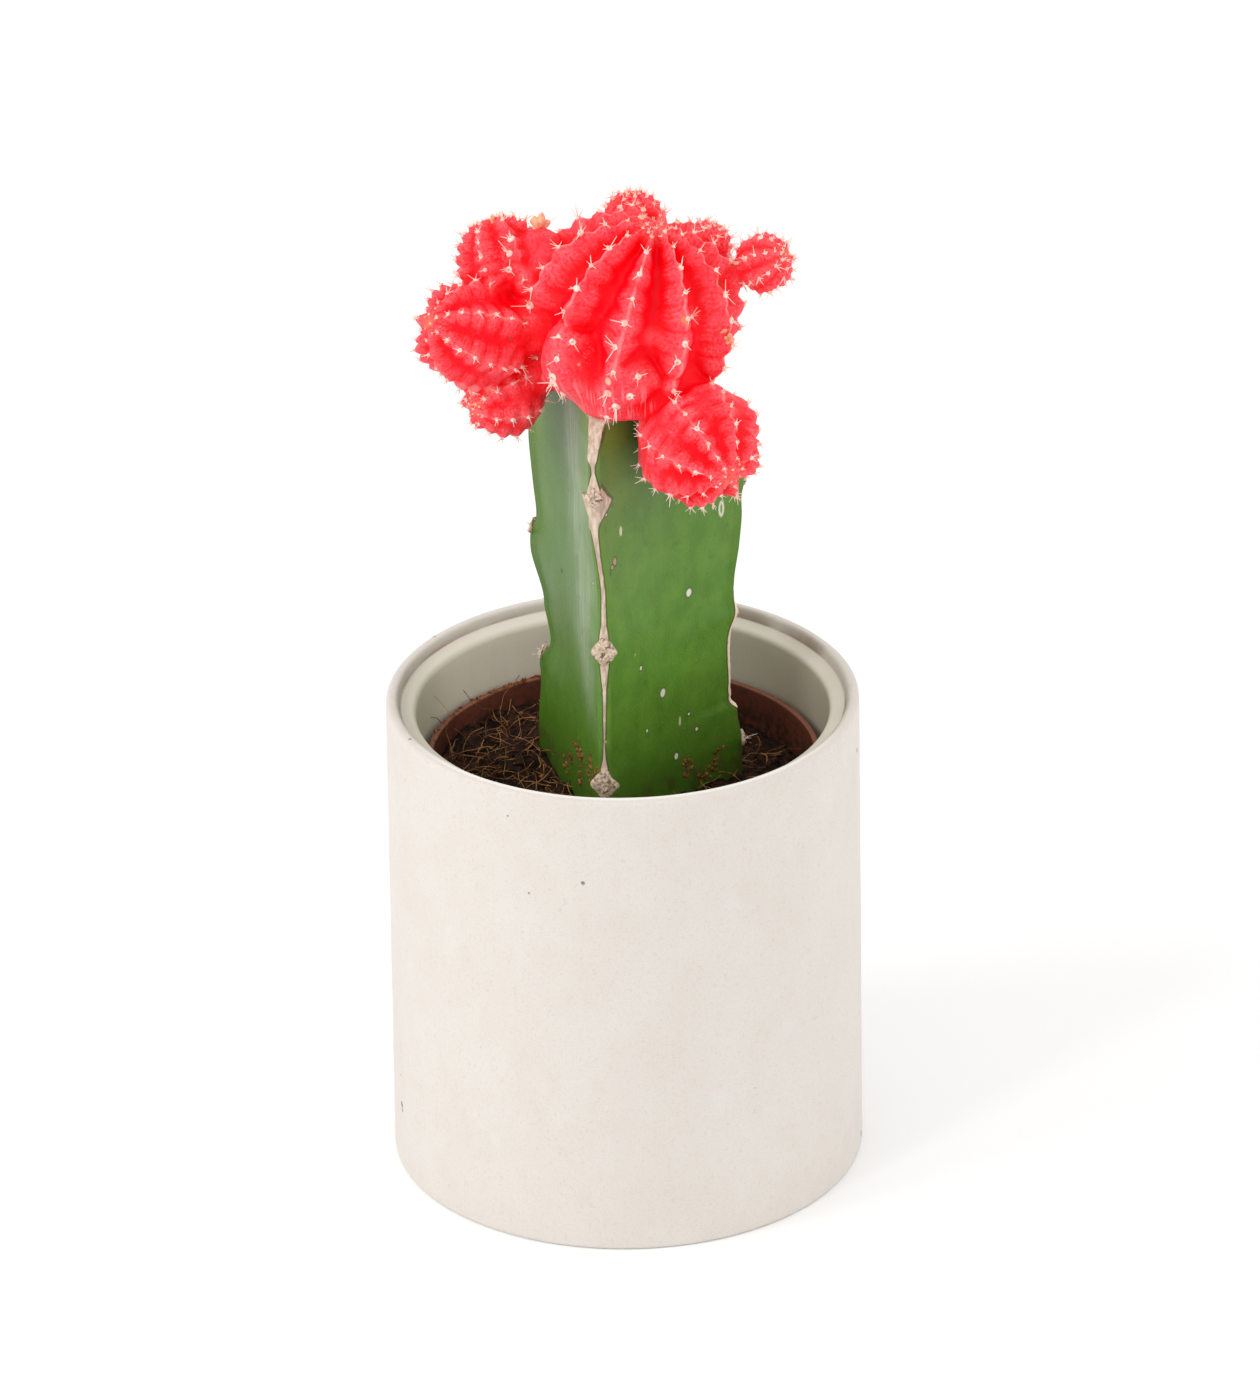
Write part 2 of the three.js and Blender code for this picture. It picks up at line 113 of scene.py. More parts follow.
camera = bpy.data.objects.new("camera", bpy.data.cameras.new("camera"))
bpy.context.scene.collection.objects.link(camera)
camera.data.sensor_width = SENSOR_MM
camera.data.lens = FOCAL_PX * SENSOR_MM / PICTURE_HEIGHT_PX
camera.data.clip_start = 0.05
camera.data.clip_end = 20.0
turn = Matrix(camera_axes()).transposed().to_4x4()
camera.matrix_world = Matrix.Translation(Vector((0.0, -CAMERA_AWAY, CAMERA_UP)) * MM) @ turn
bpy.context.scene.camera = camera
print(f"camera: lens {camera.data.lens:.1f} mm")

# %% [markdown]
# ## A small kit for node trees
#
# Shapes that follow a rule are made by Geometry Nodes, and finishes by shader nodes. Both kinds of
# tree do arithmetic with the same Math node. The class below wraps one output of a tree, so that a
# rule can be written as a sum, `radius * sin(angle)`, and every sign in it becomes a Math node.


# %% Arithmetic as nodes
class Field:
    """A number that a tree works out at every point."""

    def __init__(self, tree, socket):
        self.tree = tree
        self.socket = socket

    def math(self, operation, *others):
        node = self.tree.nodes.new("ShaderNodeMath")
        node.operation = operation
        for slot, value in enumerate((self, *others)):
            feed(self.tree, node.inputs[slot], value)
        return Field(self.tree, node.outputs[0])

    def __add__(self, other):
        return self.math("ADD", other)

    def __sub__(self, other):
        return self.math("SUBTRACT", other)

    def __mul__(self, other):
        return self.math("MULTIPLY", other)

    def __truediv__(self, other):
        return self.math("DIVIDE", other)

    def __pow__(self, other):
        return self.math("POWER", other)

    def __neg__(self):
        return self.math("MULTIPLY", -1.0)

    __radd__ = __add__
    __rmul__ = __mul__

    def __rsub__(self, other):
        return (-self) + other

    def __rtruediv__(self, other):
        return (self ** -1.0) * other

    def at_least(self, other):
        return self.math("MAXIMUM", other)

    def at_most(self, other):
        return self.math("MINIMUM", other)

    def ramp(self, low, high):
        """0 below low, 1 above high, and a smooth rise between them."""
        node = self.tree.nodes.new("ShaderNodeMapRange")
        node.interpolation_type = "SMOOTHSTEP"
        feed(self.tree, node.inputs["Value"], self)
        feed(self.tree, node.inputs["From Min"], low)
        feed(self.tree, node.inputs["From Max"], high)
        return Field(self.tree, node.outputs["Result"])


def feed(tree, socket, value):
    """Gives a socket a field, another node's output, or a plain value."""
    if isinstance(value, Field):
        tree.links.new(value.socket, socket)
    elif isinstance(value, bpy.types.NodeSocket):
        tree.links.new(value, socket)
    else:
        socket.default_value = value


def sine(field):
    return field.math("SINE")


def cosine(field):
    return field.math("COSINE")


def degrees_to_radians(field):
    return field * (math.pi / 180.0)


def add_node(tree, kind, settings=None, **sockets):
    """Adds a node, sets its options, and feeds its inputs by name with _ for each space."""
    node = tree.nodes.new(kind)
    for option, value in (settings or {}).items():
        setattr(node, option, value)
    for socket, value in sockets.items():
        feed(tree, node.inputs[socket.replace("_", " ")], value)
    return node


def vectors(tree, operation, first, second=None, scale=None):
    """Arithmetic with one or two vectors."""
    node = add_node(tree, "ShaderNodeVectorMath", {"operation": operation})
    feed(tree, node.inputs[0], first)
    if second is not None:
        feed(tree, node.inputs[1], second)
    if scale is not None:
        feed(tree, node.inputs["Scale"], scale)
    return node.outputs["Vector"]


def to_vector(tree, x, y, z):
    return add_node(tree, "ShaderNodeCombineXYZ", X=x, Y=y, Z=z).outputs[0]


def here(tree):
    """The place of the point that a tree works on."""
    return tree.nodes.new("GeometryNodeInputPosition").outputs[0]


def here_parts(tree):
    """X, Y and Z of that place."""
    split = add_node(tree, "ShaderNodeSeparateXYZ", Vector=here(tree))
    return [Field(tree, split.outputs[letter]) for letter in "XYZ"]


def seeded_noise(tree, seed, scale, detail):
    """Noise at every point, another one for each seed."""
    return add_node(tree, "ShaderNodeTexNoise", {"noise_dimensions": "4D"}, Vector=here(tree),
                    W=seed, Scale=scale, Detail=detail)


def store(tree, geometry, name, value, kind="FLOAT", domain="POINT"):
    """Stores a value under a name, at every point or every instance."""
    return add_node(tree, "GeometryNodeStoreNamedAttribute",
                    {"data_type": kind, "domain": domain}, Geometry=geometry, Name=name,
                    Value=value).outputs[0]


def named(tree, name, kind="FLOAT"):
    """What was stored under a name."""
    node = add_node(tree, "GeometryNodeInputNamedAttribute", {"data_type": kind}, Name=name)
    return node.outputs["Attribute"]


# %% Trees, modifiers and plain meshes
SOCKET_TYPES = {float: "NodeSocketFloat", int: "NodeSocketInt"}


def shape_tree(name, inputs):
    """A Geometry Nodes tree with inputs for geometry, a finish and named numbers."""
    tree = bpy.data.node_groups.new(name, "GeometryNodeTree")
    tree.interface.new_socket("Geometry", in_out="INPUT", socket_type="NodeSocketGeometry")
    tree.interface.new_socket("Finish", in_out="INPUT", socket_type="NodeSocketMaterial")
    for title, value in inputs.items():
        kind = SOCKET_TYPES[type(value)]
        socket = tree.interface.new_socket(title, in_out="INPUT", socket_type=kind)
        socket.default_value = value
    tree.interface.new_socket("Geometry", in_out="OUTPUT", socket_type="NodeSocketGeometry")
    source = tree.nodes.new("NodeGroupInput")
    given = {title: Field(tree, source.outputs[title]) for title in inputs}
    return tree, source.outputs["Geometry"], given


def finish_tree(tree, geometry):
    """Ends a tree in Realize Instances and Set Material."""
    finish = tree.nodes.new("NodeGroupInput").outputs["Finish"]
    real = add_node(tree, "GeometryNodeRealizeInstances", Geometry=geometry)
    last = add_node(tree, "GeometryNodeSetMaterial", Geometry=real.outputs[0], Material=finish)
    tree.links.new(last.outputs[0], tree.nodes.new("NodeGroupOutput").inputs[0])


def place_object(name, mesh):
    """Links a mesh as an object at the origin."""
    thing = bpy.data.objects.new(name, mesh)
    bpy.context.scene.collection.objects.link(thing)
    return thing


def applied(carrier):
    """The plain mesh that an object's modifiers make. The object is removed."""
    seen = carrier.evaluated_get(bpy.context.evaluated_depsgraph_get())
    mesh = bpy.data.meshes.new_from_object(seen)
    bpy.data.objects.remove(carrier)
    return mesh


def grow(tree, values, start=None):
    """Runs a tree on a mesh and gives back the plain mesh that it makes."""
    carrier = place_object(tree.name, start or bpy.data.meshes.new(tree.name))
    modifier = carrier.modifiers.new("grow", "NODES")
    modifier.node_group = tree
    for item in tree.interface.items_tree:
        if item.in_out == "INPUT" and item.name in values:
            modifier[item.identifier] = values[item.name]
    mesh = applied(carrier)
    if "Finish" in values:
        # Cones and spheres bring an empty slot of their own, so only the finish is kept.
        mesh.materials.clear()
        mesh.materials.append(values["Finish"])
    return mesh


def piece(name, mesh, replaced=None, finish=None):
    """A finished piece: it rides on the one body and hides the CAD node that it replaces."""
    thing = place_object(name, mesh)
    if finish:
        mesh.materials.clear()
        mesh.materials.append(finish)
    mesh.polygons.foreach_set("use_smooth", [True] * len(mesh.polygons))
    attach(thing, "root")
    if replaced:
        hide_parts(replaced)
    print(f"{name}: {len(mesh.vertices)} points, {len(mesh.polygons)} faces")
    return thing


def points_of(mesh):
    """A mesh's points as an array of rows."""
    places = np.zeros(len(mesh.vertices) * 3)
    mesh.vertices.foreach_get("co", places)
    return places.reshape(-1, 3)


def set_points(mesh, places):
    mesh.vertices.foreach_set("co", np.asarray(places, float).ravel())
    mesh.update()


def put_attribute(mesh, name, values):
    """Stores one number for each point."""
    layer = mesh.attributes.new(name, "FLOAT", "POINT")
    layer.data.foreach_set("value", np.asarray(values, np.float32))


def get_attribute(mesh, name):
    values = np.zeros(len(mesh.vertices))
    mesh.attributes[name].data.foreach_get("value", values)
    return values


def get_vectors(mesh, name):
    values = np.zeros(len(mesh.vertices) * 3)
    mesh.attributes[name].data.foreach_get("vector", values)
    return values.reshape(-1, 3)


def as_mesh(shape, name):
    """A finished bmesh as a mesh."""
    mesh = bpy.data.meshes.new(name)
    shape.to_mesh(mesh)
    shape.free()
    return mesh


def search_tree(mesh):
    """Finds points of a mesh along a ray or near a place."""
    return BVHTree.FromPolygons([vertex.co.copy() for vertex in mesh.vertices],
                                [tuple(face.vertices) for face in mesh.polygons])


def woven_mesh(name, rows):
    """A skin over rows of equally many points, closed round, with a fan at each end."""
    rows = np.asarray(rows, float)
    height, width = rows.shape[:2]
    faces = []
    for r in range(height - 1):
        for c in range(width):
            n = (c + 1) % width
            faces.append((r * width + c, r * width + n, (r + 1) * width + n, (r + 1) * width + c))
    hub, ring = height * width, (height - 1) * width
    faces += [(hub, (c + 1) % width, c) for c in range(width)]
    faces += [(hub + 1, ring + c, ring + (c + 1) % width) for c in range(width)]
    places = np.vstack([rows.reshape(-1, 3), rows[0].mean(0), rows[-1].mean(0)])
    mesh = bpy.data.meshes.new(name)
    mesh.from_pydata(places.tolist(), [], faces)
    mesh.update()
    return mesh


# %% [markdown]
# ## Finishes
#
# Each finish is one Principled shader. Its colours come from noise and from attributes that the
# pieces carry, such as how deep in a groove a point lies. Numbers that are the same all over a
# surface, such as the coat, are set on the shader's own sockets.


# %% Helpers for finishes
class Paint:
    """A finish under construction: one shader, and short names for its patterns."""

    def __init__(self, name, roughness, **constants):
        self.material = bpy.data.materials.new(name)
        self.material.use_nodes = True
        self.tree = self.material.node_tree
        self.shader = self.tree.nodes["Principled BSDF"]
        self.shader.inputs["Roughness"].default_value = roughness
        for socket, value in constants.items():
            self.shader.inputs[socket.replace("_", " ")].default_value = value
        self.place = self.tree.nodes.new("ShaderNodeTexCoord").outputs["Object"]

    def noise(self, size_mm, detail=3.0, stretch=(1, 1, 1)):
        """Soft noise whose grain is about size_mm across, drawn out along an axis by stretch."""
        mapping = add_node(self.tree, "ShaderNodeMapping", Vector=self.place, Scale=stretch)
        node = add_node(self.tree, "ShaderNodeTexNoise", Vector=mapping.outputs[0],
                        Scale=1.0 / (size_mm * MM), Detail=detail)
        return Field(self.tree, node.outputs["Fac"])

    def cells(self, size_mm):
        """Distance from the nearest of many scattered points."""
        node = add_node(self.tree, "ShaderNodeTexVoronoi", Vector=self.place,
                        Scale=1.0 / (size_mm * MM))
        return Field(self.tree, node.outputs["Distance"])

    def attribute(self, name):
        node = add_node(self.tree, "ShaderNodeAttribute", {"attribute_name": name})
        return Field(self.tree, node.outputs["Fac"])

    def axis(self, letter):
        split = add_node(self.tree, "ShaderNodeSeparateXYZ", Vector=self.place)
        return Field(self.tree, split.outputs[letter])

    def near(self, point_mm, radius_mm, core=0.6, tall=1.0):
        """1 in the core of a ball about a named point, falling to 0 at its edge."""
        gap = add_node(self.tree, "ShaderNodeVectorMath", {"operation": "DISTANCE"})
        place = self.place
        if tall != 1.0:
            place = add_node(self.tree, "ShaderNodeMapping", Vector=self.place,
                             Scale=(1.0, 1.0, 1.0 / tall)).outputs[0]
        feed(self.tree, gap.inputs[0], place)
        gap.inputs[1].default_value = (point_mm[0] * MM, point_mm[1] * MM,
                                       point_mm[2] * MM / tall)
        away = Field(self.tree, gap.outputs["Value"])
        return 1.0 - away.ramp(core * radius_mm * MM, radius_mm * MM)

    def mix(self, share, first, second):
        """Two colours mixed, where 0 gives the first and 1 the second."""
        node = add_node(self.tree, "ShaderNodeMix", {"data_type": "RGBA"})
        feed(self.tree, node.inputs["Factor"], share)
        for socket, colour in (("A", first), ("B", second)):
            target = [s for s in node.inputs if s.name == socket and s.type == "RGBA"][0]
            feed(self.tree, target, (*colour, 1.0) if isinstance(colour, tuple) else colour)
        return [s for s in node.outputs if s.type == "RGBA"][0]

    def base(self, share, first, second):
        """The first colours of a finish, mixed by a share."""
        self.colour = self.mix(share, first, second)
        feed(self.tree, self.shader.inputs["Base Color"], self.colour)

    def over(self, share, tint):
        """Lays a tint over the colour so far, where share is 1."""
        self.base(share, self.colour, tint)

    def roughness(self, field):
        feed(self.tree, self.shader.inputs["Roughness"], field)

    def bump(self, height, depth_mm, strength):
        node = add_node(self.tree, "ShaderNodeBump", Height=height, Distance=depth_mm * MM,
                        Strength=strength)
        feed(self.tree, self.shader.inputs["Normal"], node.outputs[0])
        return self.material


# %% [markdown]
# ## The red globe and its offsets
#
# The red part is a mutant that has no green of its own. It grows in ribs that swell under every
# areole, the woolly cushion that carries the spines, and each offset is a small copy of the globe.
#
# A sculptor would push clay. But the plant follows a rule: ribs at equal turns, and areoles at
# nearly equal steps along them, half a step apart on neighbouring ribs. So one Geometry Nodes tree
# bends a flat grid into a head by that rule, and the same rule sets the areoles on it. Changing a
# radius or a number of ribs gives the next offset.


# %% The rule of a head
def head_rule(turn, angle, count, given):
    """Place on a head's skin.

    turn counts ribs round the growing axis, angle runs in degrees from the growing point, and
    count is the same run in areoles."""
    nearest = (turn + 0.5).math("FLOOR")
    flank = (turn - nearest).math("ABSOLUTE") * 2.0
    rib = nearest.math("FLOORED_MODULO", given["Ribs"])
    shift = (rib.math("FLOORED_MODULO", 2.0) * -0.5) + 0.5
    wave = (count - shift) * (2.0 * math.pi)
    young = angle.ramp(0.0, given["First"] * 2.0)
    worn = 1.0 - angle.ramp(given["Fade"], given["Fade"] + 45.0) * 0.75
    upper = 1.2 - angle.ramp(45.0, 95.0) * 0.35
    bend = sine(flank * (math.pi / 2.0)).at_least(0.0) ** 1.15
    groove = bend * given["Depth"] * worn * young * upper
    crest = (1.0 - flank ** 1.6).at_least(0.0)
    knob = cosine(wave * 0.5 - 0.35).math("ABSOLUTE") ** 0.75
    swell = (knob - 0.7) * crest * given["Bump"] * 2.0 * young
    band = cosine(wave * 2.0 + flank * 3.0) * flank * (1.0 - flank) * given["Band"] * worn
    full = 1.0 - groove + swell + band
    around = degrees_to_radians(given["Spin"] + turn * (360.0 / given["Ribs"]))
    slope = degrees_to_radians(angle)
    out = sine(slope) * full * given["Radius"]
    dimple = (angle * -0.11).math("EXPONENT") * 0.07
    along = cosine(slope) * (1.0 + swell - dimple - groove * 0.7) * given["Polar"]
    return sine(around) * out, -(cosine(around) * out), along


HEAD_INPUTS = {"Radius": 1.0, "Polar": 1.0, "Ribs": 10, "Spin": 0.0, "Depth": 0.17, "Bump": 0.04,
               "Band": 0.05, "First": 14.0, "Step": 15.0, "Fade": 125.0, "Length": 7,
               "Lump": 0.035, "Seed": 0.0}
print("a head is driven by", ", ".join(HEAD_INPUTS))


# %% The tree that bends a grid into a head
GRID_COLUMNS_PER_RIB = 24
GRID_ROWS = 150


def grid_share(tree):
    """Position on a flat 1 x 1 grid as two numbers from 0 to 1."""
    across, down, _ = here_parts(tree)
    return across + 0.5, down + 0.5


def head_tree():
    tree, _, given = shape_tree("ribbed_head", HEAD_INPUTS)
    grid = add_node(tree, "GeometryNodeMeshGrid", Size_X=1.0, Size_Y=1.0,
                    Vertices_X=given["Ribs"] * GRID_COLUMNS_PER_RIB + 1.0, Vertices_Y=GRID_ROWS)
    across, down = grid_share(tree)
    turn = across * given["Ribs"]
    angle = 180.0 - down * 180.0
    steps = (angle - given["First"]) / given["Step"]
    count = steps + (1.0 - (-steps).math("EXPONENT")) * 0.5
    parts = head_rule(turn, angle, count, given)
    ruled = add_node(tree, "GeometryNodeSetPosition", Geometry=grid.outputs["Mesh"],
                     Position=to_vector(tree, *parts))
    sown = add_node(tree, "GeometryNodeSetPosition", Geometry=ruled.outputs[0],
                    Offset=lumps(tree, given))
    closed = add_node(tree, "GeometryNodeMergeByDistance", Geometry=sown.outputs[0],
                      Distance=0.02 * MM)
    finish_tree(tree, closed.outputs[0])
    return tree


def lumps(tree, given):
    """Outward swelling of flesh that never grew quite evenly."""
    noise = seeded_noise(tree, given["Seed"], 0.22 / MM, 1.5)
    rise = (Field(tree, noise.outputs["Fac"]) - 0.5) * 2.0 * given["Lump"]
    return vectors(tree, "SCALE", here(tree), scale=rise)


HEAD_TREE = head_tree()
print("head tree:", len(HEAD_TREE.nodes), "nodes")


# %% The tree that sets the areoles
def seat_tree():
    """Points at the areoles, each with its aim out of the flesh and its way along the rib."""
    tree, _, given = shape_tree("areole_seats", HEAD_INPUTS)
    grid = add_node(tree, "GeometryNodeMeshGrid", Size_X=1.0, Size_Y=1.0,
                    Vertices_X=given["Ribs"], Vertices_Y=given["Length"])
    across, down = grid_share(tree)
    rib = (across * (given["Ribs"] - 1.0)).math("ROUND")
    row = (down * (given["Length"] - 1.0)).math("ROUND")
    shift = (rib.math("FLOORED_MODULO", 2.0) * -0.5) + 0.5
    count = row + shift
    crowd = 1.0 - (count / -1.5).math("EXPONENT")
    angle = given["First"] + given["Step"] * (count - crowd * 0.5)
    seat = to_vector(tree, *head_rule(rib, angle, count, given))
    lower = to_vector(tree, *head_rule(rib, angle + 4.0, count + 0.01, given))
    last = grid.outputs["Mesh"]
    for title, way in (("aim", seat), ("along", vectors(tree, "SUBTRACT", lower, seat))):
        last = store(tree, last, title, vectors(tree, "NORMALIZE", way), "FLOAT_VECTOR")
    last = store(tree, last, "angle", angle)
    moved = add_node(tree, "GeometryNodeSetPosition", Geometry=last, Position=seat)
    finish_tree(tree, moved.outputs[0])
    return tree


SEAT_TREE = seat_tree()

# %% [markdown]
# ## Where the heads stand
#
# Each head has a centre, a growing axis and its own count of ribs. These are the frame's own
# values in millimetres. The largest is the main globe.

# %% The heads
GLOBE = {"centre": (3.0, -3.0, 157.3), "radius": 18.1, "polar": 17.2,
         "axis": (0.225, -0.067, 0.972), "spin": -9.5, "ribs": 10, "depth": 0.25,
         "bump": 0.028, "band": 0.022, "first": 10.0, "step": 15.0, "fade": 112.0,
         "lump": 0.045}
OFFSETS = {
    "left_middle": {"centre": (-24.0, -4.5, 154.0), "radius": 9.3, "polar": 9.7,
                    "axis": (-0.76, -0.44, 0.475), "spin": 2.6, "ribs": 7, "depth": 0.19,
                    "bump": 0.078, "step": 17.5, "neck": 5.0, "fade": 85.0},
    "left_upper": {"centre": (-18.9, 4.0, 162.8), "radius": 7.9, "polar": 8.2,
                   "axis": (-0.28, 0.5, 0.82), "spin": -13.0, "ribs": 8, "depth": 0.17,
                   "bump": 0.115, "step": 16.5, "neck": 4.5},
    "left_lower": {"centre": (-19.2, -2.0, 141.8), "radius": 7.2, "polar": 6.9,
                   "axis": (-0.78, -0.62, -0.07), "spin": -14.0, "ribs": 7, "depth": 0.16,
                   "bump": 0.075, "step": 24.0, "neck": 4.2, "fade": 60.0},
    "right_lower": {"centre": (13.2, -16.2, 138.9), "radius": 10.3, "polar": 10.4,
                    "axis": (0.49, -0.85, -0.22), "spin": 5.0, "ribs": 8, "depth": 0.18,
                    "bump": 0.078, "step": 18.0, "neck": 5.5, "fade": 50.0},
    "right_small": {"centre": (24.4, 0.0, 164.2), "radius": 5.1, "polar": 4.9,
                    "axis": (0.75, -0.35, 0.5), "spin": 0.0, "ribs": 8, "depth": 0.13,
                    "bump": 0.085, "step": 22.0, "neck": 2.3},
    "top": {"centre": (2.8, 8.0, 168.4), "radius": 5.4, "polar": 5.4, "axis": (0.0, 0.1, 1.0),
            "spin": 14.0, "ribs": 8, "depth": 0.14, "bump": 0.090, "step": 20.0, "neck": 3.0},
    "right_shoulder": {"centre": (14.7, 6.5, 164.2), "radius": 4.6, "polar": 4.7,
                       "axis": (0.5, 0.1, 0.85), "spin": 5.0, "ribs": 8, "depth": 0.14,
                       "bump": 0.090, "step": 22.0, "neck": 2.6},
}
OFFSET_HABIT = {"band": 0.03, "first": 14.0, "fade": 125.0, "lump": 0.04}
SWELLINGS = (
    {"centre": (2.2, -1.5, 150.4), "radius": 14.8, "height": 12.4},
    {"centre": (1.0, -9.6, 150.5), "radius": 9.4, "height": 12.5},
    {"centre": (-6.9, -12.6, 153.4), "radius": 5.9, "height": 6.4},
    {"centre": (1.9, -14.0, 150.7), "radius": 6.4, "height": 6.6},
    {"centre": (-12.6, 2.2, 163.6), "radius": 4.8, "height": 6.2},
    {"centre": (-11.6, -1.2, 165.0), "radius": 3.2, "height": 3.4},
    {"centre": (-14.2, -1.6, 162.0), "radius": 3.2, "height": 3.6},
)
TAPER = ((-7.6, -11.4, 151.2), 5.2, (-1.0, -7.6, 143.4), 8.2)
heads = {"globe": GLOBE}
for title, head in OFFSETS.items():
    heads[title] = {**OFFSET_HABIT, **head}
GRAFT_PLANE = top_of("rootstock") + 0.3
print(len(heads), "heads on the graft plane at", round(GRAFT_PLANE, 2), "mm")


# %% Grow the heads
LAST_AREOLE = 165.0


def head_values(head, seed):
    """The numbers that the trees take for one head."""
    same = {title: head[title.lower()] for title in
            ("Spin", "Ribs", "Depth", "Bump", "Band", "First", "Step", "Fade", "Lump")}
    length = int((LAST_AREOLE - head["first"]) / head["step"])
    return {**same, "Radius": head["radius"] * MM, "Polar": head["polar"] * MM,
            "Length": length, "Seed": float(seed)}


def head_matrix(head):
    """Turns and moves a head from its own frame into the plant's."""
    up = Vector(head["axis"]).normalized()
    right = Vector((0, 1, 0)).cross(up).normalized()
    back = up.cross(right)
    turned = Matrix((right, back, up)).transposed().to_4x4()
    return Matrix.Translation(Vector(head["centre"]) * MM) @ turned


head_meshes = []
seat_meshes = []
for seed, head in enumerate(heads.values()):
    skin = grow(HEAD_TREE, head_values(head, seed))
    skin.transform(head_matrix(head))
    head_meshes.append(skin)
    seats = grow(SEAT_TREE, head_values(head, seed))
    seats.transform(head_matrix(head))
    for title in ("aim", "along"):
        turned = get_vectors(seats, title) @ np.array(head_matrix(head).to_3x3()).T
        seats.attributes[title].data.foreach_set("vector", turned.ravel())
    seat_meshes.append(seats)
print("points on the heads:", sum(len(mesh.vertices) for mesh in head_meshes))


# %% [markdown]
# ## One skin over all the heads
#
# Heads, swellings and the short necks between them overlap like balls of clay. On the plant they
# are one flesh. A voxel remesh keeps only the outside of such a heap, and a smoothing that works
# along the seams rounds them. A boolean union would leave every seam as sharp as a knife cut.

# %% Swellings, necks and the flat underside
import bmesh

VOXEL = 0.35
GLOBE_SEAT = GRAFT_PLANE - 0.35


def lump(matrix, radius, height):
    """A ball, squashed to a height."""
    shape = bmesh.new()
    squash = Matrix.Diagonal((1.0, 1.0, height / radius, 1.0))
    bmesh.ops.create_uvsphere(shape, u_segments=96, v_segments=64, radius=radius * MM,
                              matrix=matrix @ squash)
    return as_mesh(shape, "lump")


def cone_between(start, first, end, last):
    """A closed cone between two points, with a radius at each."""
    way = Vector(end) - Vector(start)
    turned = way.to_track_quat("Z", "Y").to_matrix().to_4x4()
    shape = bmesh.new()
    bmesh.ops.create_cone(shape, cap_ends=True, segments=64, radius1=first * MM,
                          radius2=last * MM, depth=way.length * MM,
                          matrix=Matrix.Translation((Vector(start) + way / 2) * MM) @ turned)
    return as_mesh(shape, "cone")


def neck(head):
    """A short round neck from the globe's flesh to the middle of an offset."""
    start = Vector(GLOBE["centre"])
    end = Vector(head["centre"])
    start = start + (end - start).normalized() * 0.6 * GLOBE["radius"]
    return cone_between(start, head["neck"], end, head["neck"] * 0.9)


def seat_flat(mesh):
    """Presses whatever lies under the graft plane up to it."""
    places = points_of(mesh)
    places[:, 2] = np.maximum(places[:, 2], GLOBE_SEAT * MM)
    set_points(mesh, places)
    return mesh


swelling_meshes = []
for swelling in SWELLINGS:
    place = Matrix.Translation(Vector(swelling["centre"]) * MM)
    swelling_meshes.append(seat_flat(lump(place, swelling["radius"], swelling["height"])))
seat_flat(head_meshes[0])
neck_meshes = [neck(head) for head in OFFSETS.values()] + [seat_flat(cone_between(*TAPER))]
print(len(swelling_meshes), "swellings and", len(neck_meshes), "necks")


# %% Remesh and smooth the seams
def joined(meshes, name):
    """Several meshes as one."""
    shape = bmesh.new()
    for mesh in meshes:
        shape.from_mesh(mesh)
    return as_mesh(shape, name)


def fused(mesh):
    """Only the outside of a heap of closed forms."""
    carrier = place_object("heap", mesh)
    remesh = carrier.modifiers.new("fuse", "REMESH")
    remesh.mode = "VOXEL"
    remesh.voxel_size = VOXEL * MM
    return applied(carrier)


def neighbour_mean(values):
    """Mean of each skin point's neighbours, for a column or rows of numbers."""
    first, second = links[:, 0], links[:, 1]
    degree = np.bincount(first, minlength=count) + np.bincount(second, minlength=count)
    columns = values.reshape(count, -1).T
    sums = [np.bincount(first, column[second], count) + np.bincount(second, column[first], count)
            for column in columns]
    return (np.array(sums) / np.maximum(degree, 1)).T.reshape(values.shape)


def links_of(mesh):
    """The two ends of every edge."""
    links = np.zeros(len(mesh.edges) * 2, int)
    mesh.edges.foreach_get("vertices", links)
    return links.reshape(-1, 2)


def head_coordinates(places, head):
    """Turn in ribs, angle from the growing point, and distance outside the head's round form."""
    inverse = np.array(head_matrix(head).inverted())
    local = places @ inverse[:3, :3].T + inverse[:3, 3]
    out = np.hypot(local[:, 0], local[:, 1]) / (head["radius"] * MM)
    along = local[:, 2] / (head["polar"] * MM)
    angle = np.degrees(np.arctan2(out, along))
    around = np.degrees(np.arctan2(local[:, 0], -local[:, 1])) - head["spin"]
    turn = around / (360.0 / head["ribs"])
    away = (np.hypot(out, along) - 1.0) * head["radius"]
    return turn, angle, away


def outside_swelling(places, swelling):
    """Distance outside a swelling, in millimetres, less than 0 inside it."""
    scaled = (places / MM - np.array(swelling["centre"])) / np.array(
        (swelling["radius"], swelling["radius"], swelling["height"]))
    return (np.linalg.norm(scaled, axis=1) - 1.0) * swelling["radius"]


def seam_share(crossing, spread):
    """1 at the seams between given owners, falling to 0 some rings of points away."""
    share = np.zeros(count)
    np.maximum.at(share, links[:, 0], crossing.astype(float))
    np.maximum.at(share, links[:, 1], crossing.astype(float))
    for _ in range(spread):
        share = np.maximum(share, neighbour_mean(share) * SEAM_GAIN).clip(0, 1)
    return share


